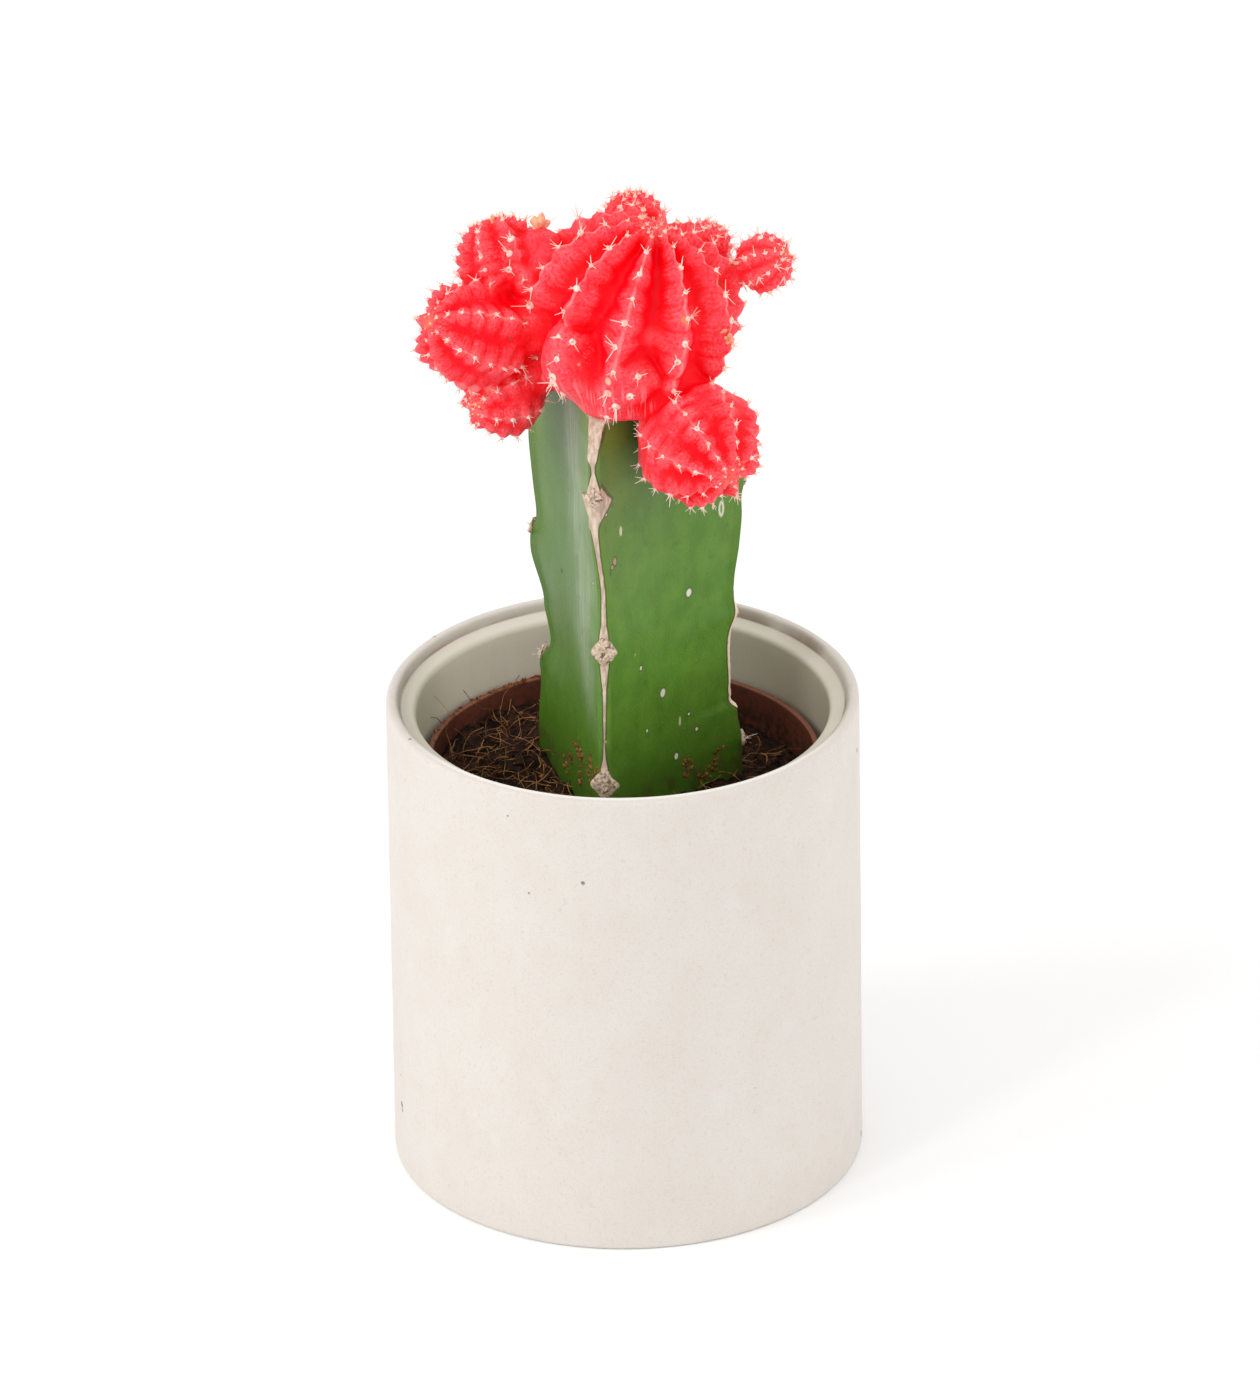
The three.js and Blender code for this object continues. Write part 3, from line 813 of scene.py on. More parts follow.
SEAM_GAIN = 1.12
LOBES = 4
flesh = fused(joined(head_meshes + swelling_meshes + neck_meshes, "heap"))
links = links_of(flesh)
places = points_of(flesh)
count = len(places)
aways = [head_coordinates(places, head)[2] for head in heads.values()]
aways += [outside_swelling(places, swelling) for swelling in SWELLINGS]
owner = np.argmin(np.array(aways), axis=0)
ends = owner[links]
apart = ends[:, 0] != ends[:, 1]
of_globe = (ends == 0) | (ends >= len(heads))
of_lobe = ((ends >= len(heads)) & (ends < len(heads) + LOBES)).any(axis=1)
near_seam = seam_share(apart, 6)
near_lobe = seam_share(apart & of_lobe & of_globe.all(axis=1), 18)
for rounds, share in ((2, 0.5), (5, 0.6 * near_seam[:, None]), (70, 0.7 * near_lobe[:, None])):
    for _ in range(rounds):
        places += share * (neighbour_mean(places) - places)
set_points(flesh, places)
print("fused skin:", count, "points; by the seams:", int(near_seam.sum()))


# %% [markdown]
# ## Folds that no rule gives
#
# Low on the globe the ribs bulge into lobes, and the skin folds between them. A sculptor would
# press these in with a thin tool. Here each fold is a line of points, seen from the middle of the
# flesh: skin near the line is drawn inwards, and least at its ends.

# %% Press the folds in
FLESH_MIDDLE = np.array((2.0, -4.0, 154.0))
LOWER_FOLDS = (3, 4, 5, 6, 7)
FOLDS = (
    (1.9, 1.15, ((-2.2, -14.2, 162.6), (-3.8, -14.4, 160.5), (-5.6, -15.1, 159.9),
                 (-7.4, -15.0, 160.2), (-9.6, -14.9, 161.4))),
    (1.4, 2.30, ((-4.6, -17.0, 157.9), (-4.4, -17.1, 156.3), (-4.2, -17.2, 154.5),
                 (-4.9, -17.7, 152.8), (-6.4, -18.5, 151.8))),
    (0.9, 1.10, ((5.2, -16.8, 156.0), (5.9, -16.7, 154.5), (6.9, -17.0, 153.5),
                 (8.2, -17.7, 151.7))),
    (0.6, 1.20, ((4.4, -17.4, 156.4), (2.0, -19.3, 156.9), (0.2, -20.8, 157.7))),
    (0.9, 1.70, ((0.9, -18.6, 145.6), (3.4, -18.6, 146.5), (6.0, -18.2, 148.4),
                 (8.6, -18.1, 150.4))),
    (0.55, 0.60, ((12.6, -14.6, 160.3), (16.5, -9.5, 158.5), (19.4, -3.6, 155.2))),
    (0.80, 0.70, ((13.5, -13.6, 155.6), (15.8, -13.0, 155.2), (17.6, -12.3, 154.8))),
    (0.40, 0.60, ((13.6, -11.9, 165.7), (17.0, -8.0, 164.5), (19.5, -2.9, 161.6))),
    (1.7, 1.70, ((-15.6, -5.4, 159.6), (-15.0, -8.3, 157.1), (-14.9, -8.7, 155.0),
                 (-14.9, -8.4, 153.0))),
)


def fold_share(places, line, width):
    """How strongly a fold draws at each point, from 0 to 1."""
    middle = FLESH_MIDDLE * MM
    reach = np.linalg.norm(places - middle, axis=1)
    ways = (places - middle) / reach[:, None]
    spots = np.array(line) * MM - middle
    depths = np.linalg.norm(spots, axis=1)
    spots /= depths[:, None]
    strongest = np.zeros(len(places))
    steps = len(spots) - 1
    for i in range(steps):
        run = spots[i + 1] - spots[i]
        t = np.clip(((ways - spots[i]) @ run) / (run @ run), 0, 1)
        gap = np.linalg.norm(ways - spots[i] - t[:, None] * run, axis=1) * reach / (width * MM)
        off = (reach - depths[i] - t * (depths[i + 1] - depths[i])) / (3.5 * MM)
        ease = np.sin(np.pi * np.clip((i + t) / steps, 0.12, 0.88))
        strongest = np.maximum(strongest, np.exp(-gap ** 2 - off ** 4) * ease)
    return strongest


def lower_folds(seed):
    """Folds across the lower ends of the globe's other grooves."""
    random = np.random.default_rng(seed)
    turned = np.array(head_matrix(GLOBE).to_3x3())
    found = []
    for turn in LOWER_FOLDS:
        line = []
        level = random.uniform(96, 112)
        for step in np.linspace(-0.5, 0.5, 5):
            slope = math.radians(level + 9 * math.cos(math.pi * step))
            around = math.radians(GLOBE["spin"] + (turn + 0.5 + step) * 360.0 / GLOBE["ribs"])
            way = np.array((math.sin(around) * math.sin(slope),
                            -math.cos(around) * math.sin(slope), math.cos(slope)))
            line.append(tuple(np.array(GLOBE["centre"]) + turned @ way * 17.0))
        found.append((random.uniform(0.6, 1.1), random.uniform(0.7, 1.0), tuple(line)))
    return found


for depth, width, line in (*FOLDS, *lower_folds(SEED)):
    inward = FLESH_MIDDLE * MM - places
    inward /= np.linalg.norm(inward, axis=1)[:, None]
    places += inward * (fold_share(places, line, width) * depth * MM)[:, None]
places += 0.4 * (neighbour_mean(places) - places)
set_points(flesh, places)
print(len(FOLDS) + len(LOWER_FOLDS), "folds pressed in")


# %% Patterns that the skin carries
LOBE_GROOVE = 0.35


def areole_count(angle, head):
    """The run along a rib in areoles, as the head tree counts it."""
    steps = (angle - head["first"]) / head["step"]
    return steps + 0.5 * (1.0 - np.exp(-np.maximum(steps, -2.0)))


def blur(values, rounds):
    """Values of the skin's points, averaged with their neighbours again and again."""
    for _ in range(rounds):
        values = neighbour_mean(values)
    return values


def carry_patterns(mesh, places, owner):
    """What the finish reads: groove, run along the rib, youth, dip, wide hollow and more."""
    groove = np.full(len(places), LOBE_GROOVE)
    run = np.zeros(len(places))
    young = np.zeros(len(places))
    ribbed = np.zeros(len(places))
    for index, head in enumerate(heads.values()):
        mine = owner == index
        turn, angle, _ = head_coordinates(places[mine], head)
        groove[mine] = np.abs(turn - np.round(turn)) * 2.0
        rib = np.round(turn) % head["ribs"]
        run[mine] = areole_count(angle, head) - 0.5 * (rib % 2 == 0)
        ribbed[mine] = 1.0 - np.clip((angle - head["fade"] + 10.0) / 30.0, 0.0, 1.0)
        young[mine] = np.clip(1.0 - angle / (head["first"] + 10.0), 0.0, 1.0)
    normals = np.zeros(len(places) * 3)
    mesh.vertices.foreach_get("normal", normals)
    normals = normals.reshape(-1, 3)
    near = blur(places, 8)
    wide = blur(near, 90)
    dip = blur(((near - places) * normals).sum(1) / MM, 2)
    hollow = blur(((wide - places) * normals).sum(1) / MM, 3)
    lobe = blur((owner >= len(heads)).astype(float), 6)
    for name, values in (("groove", groove), ("seam", near_seam), ("run", run),
                         ("young", young), ("ribbed", ribbed), ("lobe", lobe), ("dip", dip),
                         ("hollow", hollow)):
        put_attribute(mesh, name, values)
    return dip, hollow


dip, hollow = carry_patterns(flesh, places, owner)
print("dip and hollow, 5 to 95 %:", np.percentile(dip, (5, 50, 95)).round(2),
      np.percentile(hollow, (5, 25, 50, 75, 95)).round(2), "mm")

# %% [markdown]
# ## Red flesh
#
# The skin is waxy and full of red pigment, with light going a little way in. It is painted
# palest and pinkest on the crests as a painted highlight, among blotches of its own tone, and
# pure red in the grooves and hollows as a painted shade. Fine creases cross the ribs. The growing
# points are orange and yellow, where pigment is still scarce.


# %% The red finish
HOLLOW_LOW, HOLLOW_HIGH = -0.25, 0.45
SCAR, PALE_SPOT_AND_HIGHLIGHT = (0.30, 0.10, 0.05), (0.98, 0.52, 0.36)
# The second colour here is a darker red for painted shade.
SCAB, DARK_RED_SHADE = (0.88, 0.34, 0.33), (0.80, 0.0, 0.006)
# Marks of the skin; the pale orange one at (-1.7, -19.1, 151.8) is a painted highlight speck.
RED_MARKS = (
    ((-17.7, -9.5, 155.5), 0.55, SCAR, 0.75), ((16.8, -3.5, 162.0), 0.7, SCAR, 0.8),
    ((10.9, -17.9, 162.2), 0.7, (0.60, 0.30, 0.08), 0.7), ((-1.7, -19.1, 151.8), 0.8, PALE_SPOT_AND_HIGHLIGHT, 0.8),
    ((11.9, -16.2, 160.2), 0.7, (0.85, 0.40, 0.10), 0.6), ((-6.2, -18.0, 154.3), 0.7, PALE_SPOT_AND_HIGHLIGHT, 0.8),
    ((-25.7, -10.5, 147.1), 1.2, SCAB, 0.35), ((-23.6, -9.3, 146.4), 1.2, SCAB, 0.4),
    ((-21.2, -7.7, 145.6), 1.2, SCAB, 0.4),
)
# Pure red for painted shade in folds and hollows, and pale pink for painted highlight on bulges.
PURE_RED_SHADE, PINK_HIGHLIGHT = (0.96, 0.0, 0.008), (0.98, 0.175, 0.205)
# Balls of painted light and shade: pure red in folds and hollows, pale pink on bulging lobes,
# darker red where neighbouring heads shade the flesh, and last an orange-red spot of the skin.
PAINTED_SHADE_HIGHLIGHT_AND_SPOT = (
    ((-4.5, -17.0, 155.8), 3.6, PURE_RED_SHADE, 0.9), ((-5.3, -17.7, 152.8), 3.2, PURE_RED_SHADE, 0.7),
    ((-5.6, -15.1, 160.0), 2.6, PURE_RED_SHADE, 0.9), ((-3.2, -14.3, 161.4), 2.6, PURE_RED_SHADE, 0.8),
    ((6.9, -17.2, 153.4), 3.2, PURE_RED_SHADE, 0.75), ((5.5, -18.3, 148.2), 4.2, PURE_RED_SHADE, 0.8),
    ((2.6, -18.6, 146.4), 3.4, PURE_RED_SHADE, 0.7), ((2.6, -18.6, 156.7), 2.8, PURE_RED_SHADE, 0.6),
    ((-10.6, -15.6, 157.2), 3.6, PINK_HIGHLIGHT, 0.35), ((-9.2, -14.9, 159.4), 2.2, PINK_HIGHLIGHT, 0.5),
    ((4.4, -19.5, 152.2), 3.0, PINK_HIGHLIGHT, 0.35), ((-7.2, -17.0, 148.6), 3.6, PINK_HIGHLIGHT, 0.35),
    ((-1.4, -19.5, 153.4), 2.6, PINK_HIGHLIGHT, 0.4), ((5.6, -16.6, 158.6), 2.4, PINK_HIGHLIGHT, 0.35),
    ((-15.0, -8.3, 157.1), 2.4, DARK_RED_SHADE, 0.9), ((-14.9, -8.7, 154.6), 2.4, DARK_RED_SHADE, 0.9),
    ((-15.6, -5.4, 159.6), 1.8, DARK_RED_SHADE, 0.7), ((-17.4, -3.3, 160.9), 2.0, DARK_RED_SHADE, 0.7),
    ((-13.7, -6.1, 145.4), 2.6, DARK_RED_SHADE, 0.9), ((-14.2, -6.2, 142.6), 3.0, DARK_RED_SHADE, 0.8),
    ((-12.4, -5.0, 141.4), 2.6, DARK_RED_SHADE, 0.8), ((-23.2, -7.3, 142.3), 1.5, (0.95, 0.10, 0.02), 0.6),
)


def red_flesh():
    paint = Paint("red_flesh", 0.42, Subsurface_Weight=0.42, Subsurface_Scale=0.0017,
                  Subsurface_Radius=(1.0, 0.10, 0.08), Specular_IOR_Level=0.13)
    groove = paint.attribute("groove")
    dip = paint.attribute("dip")
    run = paint.attribute("run")
    blotch = paint.noise(2.6, 4.0)
    fine = paint.noise(0.42, 3.0)
    steady = 1.0 - paint.attribute("seam").ramp(0.0, 0.35)
    high = 1.0 - paint.attribute("hollow").ramp(HOLLOW_LOW, HOLLOW_HIGH)
    crest = 1.0 - groove.ramp(0.0, 0.7)
    # Painted highlight: paler and pinker on bulges and crests, mixed with blotches of the skin's
    # tone.
    pale = (high * 0.55 + crest * 0.25 + blotch.ramp(0.40, 0.75) * 0.45 - 0.15).at_least(0.0)
    paint.base(pale * (1.0 - dip.ramp(0.0, 0.1)), (0.96, 0.003, 0.010), (0.98, 0.078, 0.112))
    # Painted shade: pure red in the hollows.
    paint.over((1.0 - high) ** 2.0, (0.95, 0.0, 0.006))
    # Painted shade: pure red down the grooves.
    valley = groove.ramp(0.5, 0.95) * paint.attribute("ribbed")
    paint.over(valley * 0.85, (0.96, 0.0, 0.010))
    # Painted shade and painted highlight in soft balls, and one orange-red spot.
    for place, radius, tint, strength in PAINTED_SHADE_HIGHLIGHT_AND_SPOT:
        share = paint.near(place, radius, 0.1) * (blotch.ramp(0.25, 0.55) * 0.4 + 0.6) * strength
        paint.over(share, tint)
    halo = 1.0 - paint.attribute("cushion").ramp(0.5, 2.3)
    paint.over(halo * (fine.ramp(0.30, 0.6) * 0.28 + 0.06), (0.98, 0.24, 0.25))
    grit = 1.0 - paint.noise(0.7, 2.0).ramp(0.36, 0.50)
    paint.over(grit * 0.60, (0.94, 0.004, 0.012))
    wobble = run * 4.0 + fine * 0.5 + blotch * 2.4
    crease = cosine(wobble * (2.0 * math.pi)) * 0.5 + 0.5
    flank = groove.ramp(0.04, 0.25) * (1.0 - groove.ramp(0.60, 0.85)) * steady
    flank = flank * (paint.noise(3.6, 2.0).ramp(0.36, 0.62) * 0.85 + 0.15)
    paint.over((crease ** 3.0) * flank * high * 0.22, (0.98, 0.22, 0.24))
    streak = base_streaks(paint) * (1.0 - paint.axis("Z").ramp(0.1480, 0.1535))
    streak = streak * paint.attribute("lobe")
    paint.over(streak * 0.75, (0.98, 0.27, 0.29))
    mottle = fine.ramp(0.50, 0.64) * blotch.ramp(0.35, 0.65) * high
    paint.over(mottle * 0.36, (0.98, 0.24, 0.26))
    rim = (1.0 - groove.ramp(0.02, 0.09)) * blotch.ramp(0.36, 0.52) * high * steady
    paint.over(rim * 0.48, (0.98, 0.36, 0.33))
    bud = paint.attribute("young").ramp(0.45, 1.0) * blotch.ramp(0.40, 0.62)
    paint.over(bud * 0.5, (0.95, 0.26, 0.07))
    speck = 1.0 - paint.cells(1.3).ramp(0.04, 0.10)
    paint.over(speck * high * 0.3, (0.98, 0.34, 0.33))
    for place, radius, tint, strength in RED_MARKS:
        share = paint.near(place, radius) * (fine.ramp(0.30, 0.55) * 0.5 + 0.5) * strength
        paint.over(share, tint)
    paint.roughness(0.36 + fine * 0.16)
    grain = paint.cells(0.34) * 0.25 + fine * 0.5 + crease * flank * 0.42 + streak * 0.9
    return paint.bump(grain, 0.12, 0.9)


def base_streaks(paint):
    """Fine lines that run together towards the graft, low on the flesh."""
    across = (paint.axis("Y") + 0.004).math("ARCTAN2", paint.axis("X") - 0.002)
    place = add_node(paint.tree, "ShaderNodeCombineXYZ", X=across * 26.0,
                     Y=paint.axis("Z") * 170.0)
    noise = add_node(paint.tree, "ShaderNodeTexNoise", Vector=place.outputs[0], Scale=1.0,
                     Detail=3.0)
    return Field(paint.tree, noise.outputs["Fac"]).ramp(0.50, 0.66)


RED = red_flesh()
piece("scion_flesh", flesh, "scion", RED)
skin_tree = search_tree(flesh)


# %% [markdown]
# ## Areoles: wool and spines
#
# Every areole is a pad of cream wool with a handful of thin, straw-coloured spines that spread
# like a star. Hundreds of them are alike but never the same, which is what instances with random
# turns and lengths are for. The seats from the head tree that lie inside a neighbouring head are
# dropped first, and the rest are pressed onto the fused skin.

# %% Choose the areoles that show
HIDDEN_MM = -0.35
STRAY_MM = 1.6
SPACING_MM = 2.6
SWELLING_SPARE_MM = 0.6


def inside_heads(point, own):
    """Whether a seat lies inside a neighbouring head or a swelling."""
    row = np.array([point])
    for index, head in enumerate(heads.values()):
        if index != own and head_coordinates(row, head)[2][0] < HIDDEN_MM:
            return True
    return any(outside_swelling(row, swelling)[0] < HIDDEN_MM - SWELLING_SPARE_MM
               for swelling in SWELLINGS)


LOBE_AREOLES = (
    ((-7.5, -16.6, 157.9), 0.95), ((-10.3, -17.7, 155.2), 0.9), ((-11.3, -17.4, 151.7), 1.25),
    ((-11.3, -16.9, 150.2), 1.25), ((-9.6, -15.5, 147.6), 0.8), ((-0.4, -20.6, 158.6), 1.1),
    ((3.3, -19.7, 152.9), 1.1), ((1.9, -20.3, 149.6), 0.95), ((-0.4, -18.8, 147.1), 1.25),
    ((-1.9, -17.2, 144.6), 0.9), ((11.0, -18.9, 158.3), 1.0), ((9.8, -18.8, 155.0), 1.2),
    ((12.3, -12.4, 160.3), 0.9), ((1.2, -19.8, 162.6), 1.0), ((-10.2, 2.7, 167.2), 1.2),
    ((-14.2, -0.9, 166.8), 1.2), ((-13.1, -2.2, 164.2), 1.3), ((-15.7, -2.8, 163.7), 1.1),
    ((-14.8, -5.6, 159.7), 1.3),
)


def set_down(point_mm):
    """The nearest place of the skin, seen from the middle of the flesh, and its normal."""
    way = (Vector(point_mm) - Vector(FLESH_MIDDLE)).normalized()
    hit = skin_tree.ray_cast((Vector(FLESH_MIDDLE) + way * 40.0) * MM, -way)
    return hit[0], hit[1]


def seats_on_skin():
    """Place, aim, way along the rib, size and tint of every areole that shows."""
    chosen = []
    random = np.random.default_rng(SEED)
    for point, size in LOBE_AREOLES:
        place, normal = set_down(point)
        chosen.append((place, normal, Vector((0, 0, -1)), size, 0.0))
    lobes = [entry[0] for entry in chosen]
    for own, (seats, head) in enumerate(zip(seat_meshes, heads.values())):
        aims = get_vectors(seats, "aim")
        ways = get_vectors(seats, "along")
        angles = get_attribute(seats, "angle")
        for place, aim, way, angle in zip(points_of(seats), aims, ways, angles):
            hit = skin_tree.find_nearest(Vector(place))
            if inside_heads(place, own) or hit[3] > STRAY_MM * MM:
                continue
            if hit[0].z < (GLOBE_SEAT + 0.9) * MM and own == 0:
                continue
            if any((hit[0] - lobe).length < SPACING_MM * MM for lobe in lobes):
                continue
            normal = hit[1] if hit[1].dot(Vector(aim)) > 0 else -hit[1]
            size = (0.66 if own else 0.9) * min(1.0, 0.5 + angle / 70.0) * random.uniform(0.7, 1.2)
            tint = max(0.0, 0.8 - angle / 35.0)
            chosen.append((hit[0], (normal + Vector(aim)).normalized(), Vector(way), size, tint))
    return chosen + young_seats(random)


GOLDEN_TURN = math.radians(137.5)


def young_seats(random):
    """Crowded young areoles in a spiral about every growing point."""
    found = []
    for own, (title, head) in enumerate(heads.items()):
        matrix = head_matrix(head).to_3x3()
        middle = Vector(head["centre"])
        bright = title in ("left_middle", "left_lower", "right_lower")
        crowd = 16 if own == 0 else 10 if bright else 6
        for k in range(crowd):
            slope = math.radians((head["first"] + 4.0) * math.sqrt((k + 0.6) / crowd))
            around = k * GOLDEN_TURN
            way = matrix @ Vector((math.sin(slope) * math.sin(around),
                                   -math.sin(slope) * math.cos(around), math.cos(slope)))
            hit = skin_tree.ray_cast((middle + way * 2.0 * head["radius"]) * MM, -way)
            if hit[0] is None or (hit[0] / MM - middle).length > 1.3 * head["radius"]:
                continue
            along = Vector((random.normal(), random.normal(), random.normal())).normalized()
            size = (0.62 if own == 0 else 0.36) * random.uniform(0.7, 1.2)
            tint = 0.95 if bright else 0.35
            found.append((hit[0], (way + along * 0.25).normalized(), along, size, tint))
    return found


def seat_points(name, chosen):
    """A mesh of loose points that carry aim, along and size for the trees that grow on them."""
    mesh = bpy.data.meshes.new(name)
    mesh.from_pydata([tuple(entry[0]) for entry in chosen], [], [])
    for title, column in (("aim", 1), ("along", 2)):
        layer = mesh.attributes.new(title, "FLOAT_VECTOR", "POINT")
        layer.data.foreach_set("vector", np.array([tuple(entry[column]) for entry in chosen],
                                                  np.float32).ravel())
    put_attribute(mesh, "size", [entry[3] for entry in chosen])
    put_attribute(mesh, "tint", [entry[4] for entry in chosen])
    return mesh


scion_seats = seats_on_skin()
cushions = KDTree(len(scion_seats))
for number, entry in enumerate(scion_seats):
    cushions.insert(entry[0], number)
cushions.balance()
put_attribute(flesh, "cushion", [cushions.find(point)[2] / MM for point in places])
print(len(scion_seats), "areoles show on the red flesh")


# %% Helpers for trees that grow things on points
def random_between(tree, low, high, seed):
    """A random number for each point, the same on every run."""
    node = add_node(tree, "FunctionNodeRandomValue", {"data_type": "FLOAT"}, Seed=seed)
    feed(tree, node.inputs[2], low)
    feed(tree, node.inputs[3], high)
    return Field(tree, node.outputs[1])


def aims_of(tree):
    """The aim and the along that seat_points gave to every point."""
    return [named(tree, title, "FLOAT_VECTOR") for title in ("aim", "along")]


def turned_to(tree, aim, along):
    """A rotation whose Z looks along aim and whose X leans towards along."""
    first = add_node(tree, "FunctionNodeAlignRotationToVector", {"axis": "Z"}, Vector=aim)
    return add_node(tree, "FunctionNodeAlignRotationToVector", {"axis": "X", "pivot_axis": "Z"},
                    Rotation=first.outputs[0], Vector=along).outputs[0]


def uneven(tree, geometry, size, amount, seed):
    """Moves points a little by noise, so that repeated shapes look grown."""
    noise = seeded_noise(tree, seed, 1.0 / size, 1.0)
    spread = vectors(tree, "SUBTRACT", noise.outputs["Color"], (0.5, 0.5, 0.5))
    return add_node(tree, "GeometryNodeSetPosition", Geometry=geometry,
                    Offset=vectors(tree, "SCALE", spread, scale=amount)).outputs[0]


# %% The spine tree
def spine_tree():
    """Spreads thin bent cones round every point: Count, Length, Thick, Spread and Bend."""
    tree, geometry, given = shape_tree("spines", {
        "Count": 6, "Length": 2.2 * MM, "Thick": 0.08 * MM, "Spread": 62.0, "Bend": 0.16,
        "Seed": 1})
    copies = add_node(tree, "GeometryNodeDuplicateElements", {"domain": "POINT"},
                      Geometry=geometry, Amount=given["Count"])
    index = Field(tree, copies.outputs["Duplicate Index"])
    share = index / given["Count"]
    jitter = random_between(tree, -1.0, 1.0, given["Seed"])
    round_angle = (share + jitter / given["Count"]) * (2.0 * math.pi) + 0.5
    lean = degrees_to_radians(given["Spread"] * random_between(tree, 0.15, 1.25, 12))
    aim, along = aims_of(tree)
    side = vectors(tree, "CROSS_PRODUCT", aim, along)
    flat = vectors(tree, "ADD", vectors(tree, "SCALE", along, scale=cosine(round_angle)),
                   vectors(tree, "SCALE", side, scale=sine(round_angle)))
    way = vectors(tree, "ADD", vectors(tree, "SCALE", aim, scale=cosine(lean)),
                  vectors(tree, "SCALE", flat, scale=sine(lean)))
    cone = add_node(tree, "GeometryNodeMeshCone", Vertices=5, Side_Segments=4, Radius_Top=0.42,
                    Radius_Bottom=1.0, Depth=1.0)
    height = here_parts(tree)[2]
    bend = add_node(tree, "ShaderNodeCombineXYZ", X=(height ** 2.0) * given["Bend"] * 8.0)
    bent = add_node(tree, "GeometryNodeSetPosition", Geometry=cone.outputs["Mesh"],
                    Offset=bend.outputs[0])
    size = Field(tree, named(tree, "size"))
    length = given["Length"] * size * (random_between(tree, 0.0, 1.0, 7) ** 1.3 + 0.4)
    thick = given["Thick"] * (size * 0.4 + 0.6)
    scale = to_vector(tree, thick, thick, length)
    grown = add_node(tree, "GeometryNodeInstanceOnPoints", Points=copies.outputs["Geometry"],
                     Instance=bent.outputs[0], Rotation=turned_to(tree, way, aim), Scale=scale)
    finish_tree(tree, grown.outputs[0])
    return tree


SPINE_TREE = spine_tree()
print("spine tree:", len(SPINE_TREE.nodes), "nodes")


# %% The tree of pads, crumbs and scars
def pad_tree():
    """Presses a small dome onto every point: Width, Height, how Rough, its Grain and Seed."""
    tree, geometry, given = shape_tree("pads", {
        "Width": 0.7 * MM, "Height": 0.4 * MM, "Rough": 0.35, "Grain": 0.6, "Seed": 1})
    dome = add_node(tree, "GeometryNodeMeshIcoSphere", Radius=1.0, Subdivisions=2)
    x, y, _ = here_parts(tree)
    rimmed = store(tree, dome.outputs["Mesh"], "rim", (x ** 2.0 + y ** 2.0).math("SQRT"))
    size = Field(tree, named(tree, "size"))
    wide = given["Width"] * size * random_between(tree, 0.8, 1.2, given["Seed"])
    scale = to_vector(tree, wide, wide, given["Height"] * size)
    laid = add_node(tree, "GeometryNodeInstanceOnPoints", Points=geometry, Instance=rimmed,
                    Scale=scale, Rotation=turned_to(tree, *aims_of(tree)))
    real = add_node(tree, "GeometryNodeRealizeInstances", Geometry=laid.outputs[0])
    rough = uneven(tree, real.outputs[0], given["Grain"] * MM, given["Rough"] * MM, given["Seed"])
    finish_tree(tree, rough)
    return tree


PAD_TREE = pad_tree()
print("pad tree:", len(PAD_TREE.nodes), "nodes")


# %% Finishes of wool and spines
def pale_growth(name, light, dark, roughness, pit=0.0):
    paint = Paint(name, roughness, Subsurface_Weight=0.2, Subsurface_Scale=0.0005)
    cloud = paint.noise(0.9, 3.0)
    fine = paint.noise(0.12, 2.0)
    paint.base(cloud.ramp(0.38, 0.7), light, dark)
    paint.over(paint.attribute("tint") * cloud.ramp(0.36, 0.55), (0.94, 0.52, 0.20))
    if pit:
        heart = 1.0 - paint.attribute("rim").ramp(0.28, 0.58)
        old = paint.noise(2.4, 1.0).ramp(0.40, 0.50) * pit
        paint.over(heart * old, (0.20, 0.10, 0.07))
    return paint.bump(fine, 0.05, 0.6)


WOOL = pale_growth("areole_wool", (0.93, 0.78, 0.68), (0.96, 0.42, 0.36), 0.85, 0.5)
SPINE_STRAW = pale_growth("spine_straw", (0.95, 0.82, 0.70), (0.96, 0.60, 0.50), 0.5)

# %% Grow wool and spines on the red flesh
LENGTHS = ("Width", "Height", "Length", "Thick", "Wander")


def sprout(name, tree, finish, slot, seats, **values):
    """A piece that a tree grows on seats. Its lengths are given in millimetres."""
    values = {title: value * MM if title in LENGTHS else value
              for title, value in values.items()}
    start = seat_points(name + "_seats", seats)
    return piece(name, grow(tree, {**values, "Finish": finish}, start))


sprout("scion_wool", PAD_TREE, WOOL, "red_flesh", scion_seats,
       Width=0.54, Height=0.34, Rough=0.42, Grain=0.4, Seed=3)
spine_seats = [(place, aim, along, size * (1.0 - 0.8 * tint), tint * 0.5)
               for place, aim, along, size, tint in scion_seats]
sprout("scion_spines", SPINE_TREE, SPINE_STRAW, "red_flesh", spine_seats,
       Count=5, Length=2.0, Thick=0.095, Spread=66.0, Seed=5)


# %% A dried bud and flower remains
DRIED = (((-12.4, 3.4, 169.4), 12, 1.15), ((-16.4, 3.4, 167.6), 4, 0.6),
         ((18.2, -11.6, 155.6), 6, 0.75), ((17.8, -11.9, 157.2), 4, 0.5),
         ((-9.3, 1.0, 169.5), 4, 0.6))


def bracts():
    """Small pointed scales, heaped like the bracts of a withered bud."""
    random = np.random.default_rng(SEED)
    found = []
    for point, crowd, size in DRIED:
        place, normal = set_down(point)
        for k in range(crowd):
            way = Vector(random.normal(0, 1, 3)).normalized()
            aim = (normal * 1.1 + way).normalized()
            spot = place + (way * 0.75 + normal * random.uniform(0.1, 1.0)) * size * MM
            found.append((spot, aim, way.cross(aim).normalized(), size, 0.0))
    return found


DRIED_BUD = pale_growth("dried_bud", (0.90, 0.52, 0.30), (0.90, 0.30, 0.20), 0.8)
sprout("scion_buds", PAD_TREE, DRIED_BUD, "red_flesh", bracts(),
       Width=0.55, Height=1.0, Rough=0.35, Grain=0.7, Seed=12)


# %% [markdown]
# ## The green stem
#
# The stock is a tall green cactus with three angles. Its section is a rounded star: a blunt margin
# at each rib and a concave face between two ribs. Each margin wanders in and out with its age, and
# carries cork and areoles. A loft of that section, level by level, gives the whole stem, and every
# point knows how far it lies from the nearest band of cork.

